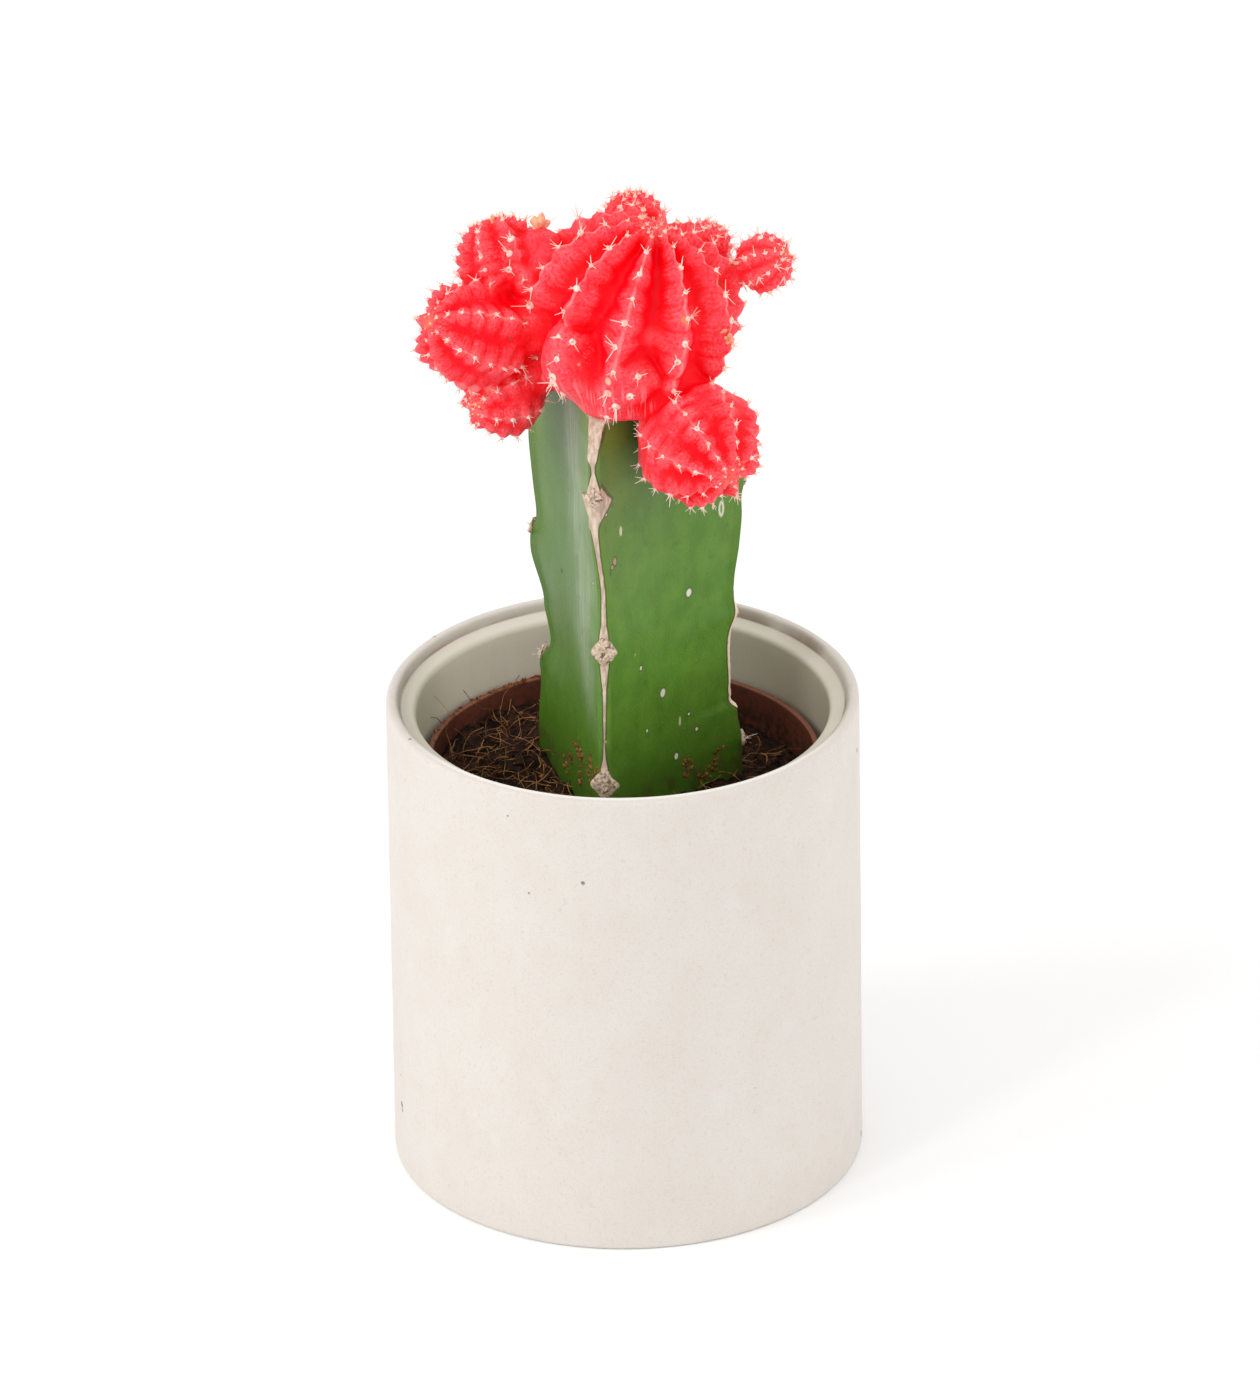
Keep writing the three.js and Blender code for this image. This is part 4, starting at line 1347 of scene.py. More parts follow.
# %% The stem's measures
STEM_AXIS_X = 0.7
STEM_VALLEY = 9.2
STEM_FOOT = foot_of("rootstock")
STEM_TOP = top_of("rootstock")
SOIL_LINE = 72.0
MARGIN_WIDTH = 2.2
RIBS = (
    {"azimuth": ((72, -11), (112, -10.5), (126, -14), (144, -14)),
     "margin": ((72, 20.6), (104, 20.0), (122, 20.2), (139, 20.6)),
     "areoles": (78.4, 102.8, 131.2), "bevel": (138.5, 17.4),
     "cork": ((72, 0.1), (76.5, 0.6), (81, 0.6), (83, 0.22), (86, 0.12), (95.5, 0.3), (100, 0.75),
              (105.5, 0.75), (107.5, 0.42), (112, 0.33), (120, 0.36), (125.6, 0.55), (127, 0.9),
              (131, 2.75), (134.9, 0.8), (136.4, 0.28), (137.8, 0.32), (139.4, 0.85),
              (143.7, 1.35))},
    {"azimuth": ((72, 106),),
     "margin": ((72, 19.8), (79.6, 19.3), (81.5, 18.1), (92, 17.9), (99, 18.9), (118, 20.4),
                (139, 20.4)),
     "areoles": (73.4, 97.5, 122.0), "bevel": (134.5, 12.5),
     "cork": ((72, 0.2), (79.0, 0.3), (80.5, 1.4), (98, 1.4), (103, 0.3), (104, 0.10),
              (130, 0.10), (138, 0.3), (143.7, 0.9)),
     "deep": ((79.4, 0.0), (80.4, 0.5), (98, 0.6), (100, 0.3), (102, 0.0), (130, 0.0),
              (136, 3.0))},
    {"azimuth": ((72, -134),),
     "margin": ((72, 20.2), (84, 19.4), (90, 17.0), (97, 18.5), (106, 21.3), (112, 19.8),
                (128, 21.5), (139, 21.2)),
     "areoles": (86.0, 109.4, 134.0), "bevel": (138.5, 17.4),
     "cork": ((72, 0.35), (84, 0.45), (90, 0.2), (97, 0.35), (110, 0.3), (128, 0.15), (136, 0.4),
              (143.7, 0.9))},
)


def smooth_line(points, x):
    """A line of control points with a smooth step between each two."""
    xs, ys = zip(*points)
    x = np.clip(x, xs[0], xs[-1])
    if len(xs) == 1:
        return np.full_like(np.asarray(x, float), ys[0])
    i = np.clip(np.searchsorted(xs, x, side="right") - 1, 0, len(xs) - 2)
    low, high = np.array(xs)[i], np.array(xs)[i + 1]
    t = (x - low) / (high - low)
    t = t * t * (3 - 2 * t)
    return np.array(ys)[i] * (1 - t) + np.array(ys)[i + 1] * t


def rib_radius(rib, height):
    """How far a margin stands from the stem's axis, with its areoles and its cut top."""
    level = np.maximum(height, SOIL_LINE)
    radius = smooth_line(rib["margin"], level)
    for areole in rib["areoles"]:
        away = np.abs(level - areole) / 3.0
        radius = radius + 0.6 * np.exp(-2.2 * away ** 2)
    start, end = rib["bevel"]
    bevel = np.clip((height - start) / (STEM_TOP - start), 0, 1)
    return radius + (end - radius) * bevel ** 1.15


print("stem:", round(STEM_TOP - STEM_FOOT, 1), "mm tall, of which",
      round(SOIL_LINE - STEM_FOOT, 1), "mm stand in the soil")

# %% Noise in Python for grown shapes
from mathutils import noise as grain_noise


def soft_noise(places, size_mm, shift=0.0):
    """Smooth noise from -1 to 1 at points in millimetres."""
    offset = Vector((shift, 2.3 * shift, -shift))
    return np.array([grain_noise.noise(Vector(p) / size_mm + offset) for p in places])


def rough_noise(places, size_mm, octaves, shift=0.0):
    offset = Vector((shift, 2.3 * shift, -shift))
    return np.array([grain_noise.fractal(Vector(p) / size_mm + offset, 0.7, 2.1, octaves)
                     for p in places])


# %% Loft the stem
MARGIN_COLUMNS = 9
FACE_COLUMNS = 84
NO_LIMIT = ((0, 99.0),)


def stem_levels():
    """Heights of the loft's rows, few in the soil and many above it."""
    buried = np.linspace(STEM_FOOT, SOIL_LINE - 6, 5)
    seen = np.linspace(SOIL_LINE - 5.4, STEM_TOP, 172)
    return np.concatenate([buried, seen])


def line_at(points, x):
    """A line of control points with straight runs."""
    return float(np.interp(x, *zip(*points)))


def cork_width(rib, level, drop, share):
    """Half the width of a rib's cork. The front rib's upper plate is drawn down aslant."""
    drawn = min(max((level - 122.0) / 4.0, 0.0), 1.0) * (rib is RIBS[0])
    first = line_at(rib["cork"], level + 0.8 * drawn)
    width = line_at(rib["cork"], level + (0.8 + drop * first) * drawn)
    return width * (1.0 + (share - 1.0) * drawn)


def stem_rows(levels):
    """Rows of points, and for each how far it lies from the cork, its rib, and how far in."""
    rows, gaps = [], []
    for height in levels:
        level = max(height, SOIL_LINE)
        ring, cork = [], []
        for i, rib in enumerate(RIBS):
            other = RIBS[(i + 1) % 3]
            bearing = float(smooth_line(rib["azimuth"], level))
            span = (float(smooth_line(other["azimuth"], level)) - bearing) % 360.0
            ends = float(rib_radius(rib, height)), float(rib_radius(other, height))
            half = math.degrees(0.5 * MARGIN_WIDTH / ends[0])
            sides = [(half * c / MARGIN_COLUMNS, ends[0], c / MARGIN_COLUMNS)
                     for c in range(MARGIN_COLUMNS + 1)]
            sides += [(None, None, c) for c in range(1, FACE_COLUMNS)]
            sides += [(span - half * c / MARGIN_COLUMNS, ends[1], c / MARGIN_COLUMNS)
                      for c in range(MARGIN_COLUMNS, 0, -1)]
            widths = [cork_width(rib, level, 0.33, 0.80), cork_width(other, level, 1.05, 1.35)]
            deeps = [line_at(lined.get("deep", NO_LIMIT), level) for lined in (rib, other)]
            for turn, reach, step in sides:
                if turn is None:
                    ease = step / FACE_COLUMNS
                    ease = 0.5 - 0.5 * math.cos(math.pi * ease) * (0.55 + 0.45 * abs(
                        math.cos(math.pi * ease)))
                    across = 2 * ease - 1
                    end = ends[0] if across < 0 else ends[1]
                    power = math.log2(end * 0.985 / STEM_VALLEY)
                    reach = STEM_VALLEY / math.cos(math.radians(58 * abs(across))) ** power
                    turn = half + ease * (span - 2 * half)
                else:
                    reach = reach * (1 - 0.015 * step ** 2.4)
                way = math.radians(bearing + turn)
                ring.append((STEM_AXIS_X + math.sin(way) * reach, -math.cos(way) * reach, height))
                nearer = 0 if turn < span / 2 else 1
                off = math.radians(min((turn, span - turn)[nearer], 90.0))
                aside = math.sin(off) * reach
                inward = ends[nearer] - math.cos(off) * reach
                cork.append((max(aside - widths[nearer], inward - deeps[nearer]),
                             (i + nearer) % 3, inward - 0.045 * aside ** 2))
        rows.append(ring)
        gaps.append(cork)
    return np.array(rows), np.array(gaps)


rows, gaps = stem_rows(stem_levels())
flat = rows.reshape(-1, 3)
cork_gap = gaps[..., 0].ravel()
cork_gap = cork_gap + soft_noise(flat, 0.8, 3.0) * 0.06 + soft_noise(flat, 3.0, 5.0) * 0.05
axis_way = flat - np.array((STEM_AXIS_X, 0, 0))
axis_way[:, 2] = 0
axis_way /= np.linalg.norm(axis_way, axis=1)[:, None]
above = np.clip((flat[:, 2] - SOIL_LINE) / 4.0, 0, 1)[:, None]
swell = soft_noise(flat, 14.0, 1.0) * 0.35 + soft_noise(flat, 5.0, 2.0) * 0.13
cork = np.clip(0.5 - cork_gap / 0.25, 0, 1)
plate = np.clip(gaps[..., 2].ravel(), 0, 0.7) * np.clip(0.5 - cork_gap / 0.6, 0, 1)
plate = plate * (gaps[..., 1].ravel() == 0)
swell = swell + cork * (0.12 + 0.12 * soft_noise(flat, 0.8, 9.0)) + plate
flat = flat + axis_way * swell[:, None] * above
stem_mesh = woven_mesh("rootstock_skin", flat.reshape(rows.shape) * MM)
cut_ends = [0.5, 0.5]
put_attribute(stem_mesh, "cork_gap", np.append(cork_gap, cut_ends))
print("stem skin:", len(stem_mesh.vertices), "points")


# %% [markdown]
# ## Green skin and cork
#
# The skin is deep green low down, and darker there as a painted shade near the soil. It is
# greyer near the graft, with a painted shade under the red globe, a painted highlight as a pale
# band down the left valley, and a yellow-green tint beside the front rib. Pale specks are its
# breathing pores. The margins are healed over with tan cork, painted lighter on the right margin
# as painted light, and a thin dark line follows the edge of the cork. The finish reads how far
# each point lies from the cork, so that the edge stays crisp at any distance.


# %% The green finish
WHITE_SPOT, BROWN_SPOT, DARK_SPOT = (0.74, 0.72, 0.60), (0.42, 0.27, 0.17), (0.035, 0.028, 0.010)
STEM_MARKS = (
    ((11.4, -2.3, 104.9), 0.75, 1.2, WHITE_SPOT), ((6.8, -6.9, 88.5), 0.75, 1.3, WHITE_SPOT),
    ((0.1, -14.9, 122.6), 0.42, 2.6, (0.66, 0.58, 0.40)),
    ((3.1, -11.7, 95.6), 0.38, 1.2, WHITE_SPOT), ((12.5, -1.2, 78.7), 0.42, 1.0, WHITE_SPOT),
    ((9.6, -3.8, 81.6), 0.35, 3.0, (0.50, 0.55, 0.30)),
    ((11.2, -2.3, 82.1), 0.32, 1.0, WHITE_SPOT), ((4.0, -10.4, 83.2), 0.35, 1.0, WHITE_SPOT),
    ((8.9, -4.7, 75.4), 0.55, 1.3, WHITE_SPOT), ((-2.3, -17.7, 127.0), 0.30, 1.0, WHITE_SPOT),
    ((17.1, 2.2, 118.2), 0.80, 2.4, (0.72, 0.70, 0.56)),
    ((17.1, 2.2, 118.2), 0.42, 3.4, (0.20, 0.30, 0.07)),
    ((-4.6, -14.1, 112.7), 0.30, 1.0, WHITE_SPOT), ((-3.3, -17.2, 112.0), 0.38, 2.8, WHITE_SPOT),
    ((-0.8, -16.9, 118.0), 0.60, 1.5, BROWN_SPOT), ((-1.5, -17.4, 117.2), 0.45, 1.0, BROWN_SPOT),
    ((-2.1, -17.7, 116.1), 0.40, 2.2, BROWN_SPOT), ((-9.9, 2.0, 107.2), 0.45, 1.4, DARK_SPOT),
    ((-3.0, -20.0, 86.1), 0.32, 1.0, (0.42, 0.50, 0.10)),
    ((2.2, -13.1, 98.8), 0.32, 1.0, (0.30, 0.36, 0.10)),
)


def green_skin():
    paint = Paint("green_stem", 0.46, Specular_IOR_Level=0.28, Coat_Weight=0.04,
                  Coat_Roughness=0.4, Subsurface_Weight=0.05, Subsurface_Scale=0.001)
    up = paint.axis("Z")
    left = paint.axis("X")
    gap = paint.attribute("cork_gap")
    big = paint.noise(13.0, 3.0, (1, 1, 0.8))
    mid = paint.noise(3.0, 4.0, (1, 1, 0.7))
    fine = paint.noise(0.6, 3.0)
    low = 1.0 - up.ramp(0.066, 0.094)
    high = up.ramp(0.098, 0.142)
    paint.base(mid.ramp(0.25, 0.8), (0.078, 0.205, 0.013), (0.118, 0.265, 0.022))
    paint.over(big.ramp(0.5, 0.75) * 0.4, (0.12, 0.32, 0.02))
    paint.over(high * (0.45 + big * 0.5), (0.108, 0.208, 0.050))
    grey_side = (1.0 - left.ramp(-0.008, -0.002)) * up.ramp(0.075, 0.1)
    paint.over(grey_side * 0.65, (0.078, 0.146, 0.034))
    # Painted shade: the skin is painted a deeper, darker green low down, near the soil.
    paint.over(low * 0.7, (0.050, 0.120, 0.008))
    beside = (1.0 - gap.ramp(1.0, 4.4)) * high
    paint.over(beside * big.ramp(0.25, 0.6) * 0.7, (0.17, 0.26, 0.035))
    # Painted shade: the faces high on the stem, under the red globe, are painted darker and greyer.
    shade_under_globe = up.ramp(0.118, 0.136) * gap.ramp(2.5, 7.0)
    paint.over(shade_under_globe * 0.6, (0.095, 0.125, 0.062))
    # Painted highlight: a pale band down the valley left of the front rib.
    band = painted_highlight_band(paint, up, left)
    paint.over(band, (0.40, 0.46, 0.34))
    speck = (1.0 - paint.cells(0.62).ramp(0.10, 0.22)) * fine.ramp(0.35, 0.6)
    paint.over(speck * 0.34, (0.34, 0.46, 0.20))
    stain = paint.noise(1.7, 4.0).ramp(0.60, 0.74)
    paint.over(stain * 0.35, (0.055, 0.115, 0.020))
    rim = (1.0 - (gap - 0.10).math("ABSOLUTE").ramp(0.04, 0.2))
    paint.over(rim * 0.7, (0.085, 0.060, 0.028))
    for place, radius, tall, tint in STEM_MARKS:
        if tint in (WHITE_SPOT, BROWN_SPOT):
            ring = paint.near(place, radius + 0.28, 0.6, tall) * 0.65
            paint.over(ring, (0.045, 0.050, 0.018))
        paint.over(paint.near(place, radius, 0.6, tall), tint)
    mud = (1.0 - up.ramp(0.0700, 0.0760)) * mid.ramp(0.40, 0.65)
    paint.over(mud * 0.55, (0.055, 0.034, 0.014))
    streak = paint.noise(0.6, 4.0, (1, 1, 0.25))
    cork = paint.mix(streak.ramp(0.3, 0.7), (0.72, 0.59, 0.47), (0.46, 0.34, 0.25))
    # Painted light: the cork of the right margin is painted lighter, as it faces away from the key
    # lamp.
    cork = paint.mix(left.ramp(0.014, 0.017) * 0.8, cork, (0.93, 0.78, 0.56))
    cut = up.ramp(0.1422, 0.1432)
    corky = (1.0 - gap.ramp(-0.05, 0.04)).at_least(cut * fine.ramp(0.35, 0.5))
    paint.over(corky, cork)
    paint.roughness(0.40 + fine * 0.12 + corky * 0.35 + band * 0.2)
    height = fine * 0.30 + paint.cells(0.5) * 0.35 + corky * (streak * 2.2 + 0.6)
    return paint.bump(height, 0.12, 0.7)


def painted_highlight_band(paint, up, left):
    """A painted highlight: a pale band that runs down the valley left of the front rib."""
    wander = paint.noise(7.0, 2.0, (0.2, 0.2, 1.0)) * 0.0022 - 0.0006
    drift = paint.noise(1.6, 3.0, (2.5, 2.5, 0.10))
    line = (up - 0.1145).at_least(0.0) * -0.082 - 0.0069 + wander
    line = line + (0.1 - up).at_least(0.0) * 0.11
    near = (1.0 - (left - line).math("ABSOLUTE").ramp(0.0002, 0.0018)) * 0.45
    wide = (1.0 - (left - line).math("ABSOLUTE").ramp(0.0006, 0.0034)) * 0.34
    front = 1.0 - paint.axis("Y").ramp(-0.001, 0.002)
    reach = up.ramp(0.080, 0.098)
    return (near + wide).at_most(1.0) * front * reach * (drift.ramp(0.25, 0.75) * 0.5 + 0.28)


GREEN = green_skin()
piece("rootstock_skin", stem_mesh, "rootstock", GREEN)
stem_tree = search_tree(stem_mesh)

# %% [markdown]
# ## Areoles of the stem
#
# Old areoles on the stem turn to cork: rough discs with a crater where the wool was. They are laid
# as shallow discs that sink into the margin at their edge. The young ones on the side ribs still
# carry a small star of spines.


# %% Corky discs
def cork_disc(seat, aim, radius, rough, crater, seed):
    """A rough shallow disc with a crater, closed below the skin."""
    side = Vector((0, 0, 1)).cross(aim).normalized()
    up = aim.cross(side)
    rings, columns = 14, 36
    rows = []
    for r in range(rings, 0, -1):
        share = r / rings
        dome = 0.42 * (1 - share ** 2.2) - crater * math.exp(-(share / 0.30) ** 2)
        dome += 0.55 * crater * math.exp(-((share - 0.42) / 0.12) ** 2)
        row = []
        for c in range(columns):
            way = 2 * math.pi * c / columns
            spot = Vector((math.cos(way) * share, math.sin(way) * share, seed * 3.1))
            edge = 0.94 + 0.26 * abs(math.cos(2 * way)) ** 3 + 0.2 * grain_noise.noise(spot * 2.1)
            rise = dome + rough * grain_noise.fractal(spot * 3.2, 0.8, 2.2, 3) * (1.2 - share)
            sunk = -0.5 if r == rings else 0.0
            row.append(seat + side * (math.cos(way) * share * radius * edge)
                       + up * (math.sin(way) * share * radius * edge * 1.15)
                       + aim * (rise + sunk - 0.08))
        rows.append([tuple(point * MM) for point in row])
    return rows


CORK_DISCS = (
    (0, 131.2, 1.35, 0.16, 0.42), (0, 102.8, 1.9, 0.30, 0.30), (0, 78.4, 2.0, 0.20, 0.18),
    (1, 122.0, 0.9, 0.12, 0.10), (1, 97.5, 0.8, 0.12, 0.10), (1, 73.4, 1.3, 0.20, 0.12),
    (2, 134.0, 1.3, 0.20, 0.15), (2, 109.4, 1.4, 0.20, 0.15), (2, 86.0, 1.3, 0.20, 0.12),
)
STARRED = (73.4, 86.0, 109.4)


def stem_seat(rib_index, height):
    """The place of an areole on the skin's margin, and the way it looks."""
    rib = RIBS[rib_index]
    way = math.radians(float(smooth_line(rib["azimuth"], height)))
    aim = Vector((math.sin(way), -math.cos(way), 0))
    start = Vector((STEM_AXIS_X, 0, height)) + aim * 30
    hit = stem_tree.ray_cast(start * MM, -aim)
    return hit[0] / MM, aim


def cork_finish():
    paint = Paint("areole_cork", 0.85)
    streak = paint.noise(0.45, 5.0)
    dark = paint.noise(0.9, 4.0)
    paint.base(streak.ramp(0.32, 0.68), (0.74, 0.60, 0.47), (0.42, 0.29, 0.20))
    paint.over(dark.ramp(0.54, 0.64) * 0.8, (0.120, 0.075, 0.045))
    return paint.bump(streak, 0.25, 0.9)


CORK = cork_finish()
discs = []
stem_stars = []
for seed, (rib_index, height, radius, rough, crater) in enumerate(CORK_DISCS):
    seat, aim = stem_seat(rib_index, height)
    discs.append(cork_disc(seat, aim, radius, rough, crater, seed + 1))
    if height in STARRED:
        stem_stars.append((seat * MM + aim * 0.2 * MM, aim, Vector((0, 0, -1)), 0.8, 0.0))
piece("rootstock_cork", joined([woven_mesh("disc", rows) for rows in discs], "rootstock_cork"),
      finish=CORK)
sprout("rootstock_spines", SPINE_TREE, SPINE_STRAW, "green_stem", stem_stars,
       Count=6, Length=2.2, Thick=0.10, Spread=70.0, Seed=9)

# %% [markdown]
# ## The soil
#
# Potting soil for cacti is dark peat with strands of coir, the brown fibre of coconut husk. The bed
# is one closed body that fills the nursery pot and leaves a hole for the stem. Its top is lumpy and
# falls a little to the right. Loose crumbs and fibres are then scattered on it by trees, because
# no one would lay hundreds of them by hand.

# %% The bed of soil
SOIL_LEVEL = 68.2
SOIL_TILT = 2.1
SOIL_LUMP = 0.55
NURSERY_RIM = 33.4
NURSERY_INNER = ((22.4, 12.3), (23.0, 12.9), (30.4, 64.9), (32.0, 65.9), (32.4, 73.2))
SOIL_COLUMNS = 264


def soil_height(x, y):
    """The soil's top without its crumbs: a tilt, soft lumps and a hollow at the left."""
    fall = SOIL_TILT * -x / NURSERY_RIM
    lumps = np.sin(0.41 * x + 0.9) * np.cos(0.37 * y) + 0.6 * np.sin(0.83 * y + 0.5 * x)
    hollow = 2.2 * np.exp(-((x + 12.0) ** 2 + (y - 3.0) ** 2) / 110.0)
    return SOIL_LEVEL + fall + SOIL_LUMP * lumps - hollow


def nursery_inner(height):
    radii, heights = zip(*NURSERY_INNER)
    return float(np.interp(height, heights, radii))


def around_axis(radius, height, columns=SOIL_COLUMNS):
    """A ring of points round the pot's axis, starting in front."""
    way = np.linspace(0, 2 * math.pi, columns, endpoint=False)
    return np.stack([np.sin(way) * radius, -np.cos(way) * radius,
                     np.zeros(columns) + height], axis=1)


def stem_outline():
    """The stem's outline at the soil line, seen from the pot's axis."""
    ring = stem_rows([SOIL_LINE])[0][0]
    way = np.arctan2(ring[:, 0], -ring[:, 1]) % (2 * math.pi)
    reach = np.hypot(ring[:, 0], ring[:, 1])
    order = np.argsort(way)
    target = np.linspace(0, 2 * math.pi, SOIL_COLUMNS, endpoint=False)
    return np.interp(target, way[order], reach[order], period=2 * math.pi)


SOIL_HOLE = stem_outline()


def soil_rows():
    """The bed from its foot up the wall, inwards over its top, and down along the stem."""
    rows = [around_axis(nursery_inner(height) - 0.12, height)
            for height in np.linspace(foot_of("soil"), 64.9, 12)]
    rim = nursery_inner(67.5) - 0.15
    for share in np.linspace(0, 1, 46):
        radius = rim + (SOIL_HOLE + 0.05 - rim) * share
        row = around_axis(radius, 0.0)
        row[:, 2] = soil_height(row[:, 0], row[:, 1])
        coarse = rough_noise(row, 3.4, 3, 4.0)
        fine = rough_noise(row, 0.9, 3, 8.0)
        row[:, 2] += (0.45 * coarse + 0.30 * fine) * (1 - 0.5 * (share == 0))
        rows.append(row)
    rows += [around_axis(SOIL_HOLE + 0.05, height) for height in (64.0, 58.0, STEM_FOOT - 0.1)]
    return np.array(rows)


SOIL_TOP_LIMIT = top_of("soil") + 0.6
soil_skin = soil_rows()
soil_skin[..., 2] = np.minimum(soil_skin[..., 2], SOIL_TOP_LIMIT)


# %% Peat finish and the bed
def peat_finish(name, dark, light):
    paint = Paint(name, 0.95, Specular_IOR_Level=0.2)
    clump = paint.noise(1.6, 5.0)
    fine = paint.noise(0.35, 4.0)
    paint.base(clump.ramp(0.35, 0.65), dark, light)
    paint.over(fine.ramp(0.60, 0.72) * 0.6, (0.14, 0.055, 0.025))
    return paint.bump(fine + clump, 0.6, 0.9)


PEAT = peat_finish("peat", (0.010, 0.005, 0.004), (0.050, 0.020, 0.010))
soil_bed = piece("soil_bed", woven_mesh("soil_bed", soil_skin * MM), "soil", PEAT)
soil_tree = search_tree(soil_bed.data)


# %% Where crumbs and fibres lie
def scatter(amount, seed, left_bias=0.0):
    """Seats on the soil between the stem and the pot, more of them at the left by a bias."""
    random = np.random.default_rng(seed)
    rim = nursery_inner(68.0) - 0.8
    chosen = []
    while len(chosen) < amount:
        column = random.integers(SOIL_COLUMNS)
        inner = SOIL_HOLE[column] + 0.4
        radius = math.sqrt(inner ** 2 + (rim ** 2 - inner ** 2) * random.random())
        way = 2 * math.pi * column / SOIL_COLUMNS
        x, y = math.sin(way) * radius, -math.cos(way) * radius
        if random.random() < left_bias * (0.5 + 0.5 * x / rim):
            continue
        hit = soil_tree.ray_cast(Vector((x, y, 90.0)) * MM, Vector((0, 0, -1)))
        if hit[0] is None:
            continue
        turn = random.random() * 2 * math.pi
        lean = random.normal(0, 0.25, 2)
        aim = Vector((lean[0], lean[1], 1)).normalized()
        along = Vector((math.cos(turn), math.sin(turn), 0))
        chosen.append((hit[0], aim, along, 0.55 + 0.9 * random.random() ** 2, 0.0))
    return chosen


STEM_CRUMBS = ((-7.8, -4.1, 77.1), (-7.0, -6.9, 76.8), (-5.6, -12.6, 79.0), (-4.5, -17.3, 79.1),
               (-4.2, -18.4, 77.6), (-6.0, -10.7, 75.7), (-5.0, -15.1, 76.4), (-8.7, -0.8, 73.0),
               (-7.4, -5.1, 72.3), (-9.7, 2.1, 70.4), (10.2, -3.5, 73.7), (11.2, -2.6, 71.7),
               (16.0, 1.6, 71.9), (13.4, -0.7, 69.7), (15.2, 0.8, 70.2))


def stem_crumbs():
    """Bits of peat that stick to the foot of the stem and lie on the nursery pot's rim."""
    random = np.random.default_rng(SEED + 3)
    found = []
    for point in STEM_CRUMBS:
        for _ in range(9):
            near = Vector(point) + Vector(random.normal(0, 0.75, 3))
            place, normal = stem_tree.find_nearest(near * MM)[:2]
            found.append((place, normal, Vector((0, 0, 1)), random.uniform(0.5, 1.1), 0.0))
    for _ in range(90):
        way = math.radians(random.normal(-148.0, 26.0))
        reach = random.uniform(NURSERY_RIM - 1.0, NURSERY_RIM - 0.1)
        place = Vector((math.sin(way) * reach, -math.cos(way) * reach, top_of("nursery_pot")))
        found.append((place * MM, Vector((0, 0, 1)), Vector((1, 0, 0)),
                      random.uniform(0.4, 1.0), 0.0))
    return found


CRUMB_PEAT = peat_finish("crumb_peat", (0.018, 0.008, 0.005), (0.075, 0.030, 0.014))
CRUMB_COIR = peat_finish("crumb_coir", (0.20, 0.060, 0.020), (0.42, 0.165, 0.065))
sprout("soil_crumbs", PAD_TREE, CRUMB_PEAT, "soil", scatter(900, SEED),
       Width=0.62, Height=0.5, Rough=0.75, Grain=0.8, Seed=6)
sprout("stem_crumbs", PAD_TREE, CRUMB_COIR, "soil", stem_crumbs() + scatter(70, SEED + 6, 0.7),
       Width=0.38, Height=0.28, Rough=0.60, Grain=0.35, Seed=7)


# %% The fibre tree
def fibre_tree():
    """Lays a wandering thin strand at every point: Length, Thick, Wander and Seed."""
    tree, geometry, given = shape_tree("fibres", {
        "Length": 9.0 * MM, "Thick": 0.11 * MM, "Wander": 2.6 * MM, "Seed": 1})
    line = add_node(tree, "GeometryNodeCurvePrimitiveLine", Start=(-0.5, 0, 0), End=(0.5, 0, 0))
    fine = add_node(tree, "GeometryNodeResampleCurve", Curve=line.outputs[0], Count=15)
    size = Field(tree, named(tree, "size"))
    length = given["Length"] * size * random_between(tree, 0.6, 1.2, given["Seed"])
    laid = add_node(tree, "GeometryNodeInstanceOnPoints", Points=geometry,
                    Instance=fine.outputs[0], Scale=to_vector(tree, length, length, length),
                    Rotation=turned_to(tree, *aims_of(tree)))
    own = store(tree, laid.outputs[0], "strand",
                random_between(tree, 0.0, 60.0, given["Seed"]), domain="INSTANCE")
    real = add_node(tree, "GeometryNodeRealizeInstances", Geometry=own)
    noise = seeded_noise(tree, named(tree, "strand"), 0.14 / MM, 1.0)
    spread = vectors(tree, "SUBTRACT", noise.outputs["Color"], (0.5, 0.5, 0.42))
    wander = vectors(tree, "SCALE", spread, scale=given["Wander"] * 2.0)
    bent = add_node(tree, "GeometryNodeSetPosition", Geometry=real.outputs[0], Offset=wander)
    profile = add_node(tree, "GeometryNodeCurvePrimitiveCircle", Resolution=4,
                       Radius=given["Thick"])
    tube = add_node(tree, "GeometryNodeCurveToMesh", Curve=bent.outputs[0],
                    Profile_Curve=profile.outputs[0], Fill_Caps=True)
    finish_tree(tree, tube.outputs[0])
    return tree


FIBRE_TREE = fibre_tree()


def coir_finish():
    paint = Paint("coir", 0.7, Specular_IOR_Level=0.3)
    strand = paint.noise(3.0, 2.0)
    fine = paint.noise(0.4, 3.0)
    paint.base(strand.ramp(0.40, 0.60), (0.50, 0.235, 0.080), (0.14, 0.050, 0.020))
    paint.over(fine.ramp(0.5, 0.7) * 0.4, (0.60, 0.34, 0.14))
    return paint.bump(fine, 0.05, 0.6)


def loose_strands():
    """A few long strands that stand up from the litter at the left."""
    return [(place, Vector((-along.y, along.x, 0.0)),
             Vector((along.x * 0.6, along.y * 0.6, 1.0)).normalized(), 1.9, 0.0)
            for place, _, along, _, _ in scatter(60, SEED + 5) if place.x < -0.017][:9]


COIR = coir_finish()
sprout("coir_fibres", FIBRE_TREE, COIR, "soil", scatter(150, SEED + 1, 0.9) + loose_strands(),
       Length=11.0, Thick=0.075, Wander=4.4, Seed=4)
sprout("fine_fibres", FIBRE_TREE, COIR, "soil", scatter(260, SEED + 2, 0.6),
       Length=6.0, Thick=0.045, Wander=2.8, Seed=8)
print("soil top at", round(float(soil_skin[..., 2].max()), 1), "mm")

# %% [markdown]
# ## The pots
#
# Both pots are turned shapes: a profile swept round the axis. The outer one is cast in a mould from
# fine pale concrete, so it is smooth, with pinholes where bubbles sat on the mould, and its
# rounded lip has a shallow ledge behind it. The inner one is thin brown plastic with a wide rim.


# %% Turning a profile
ARC_STEPS = 5


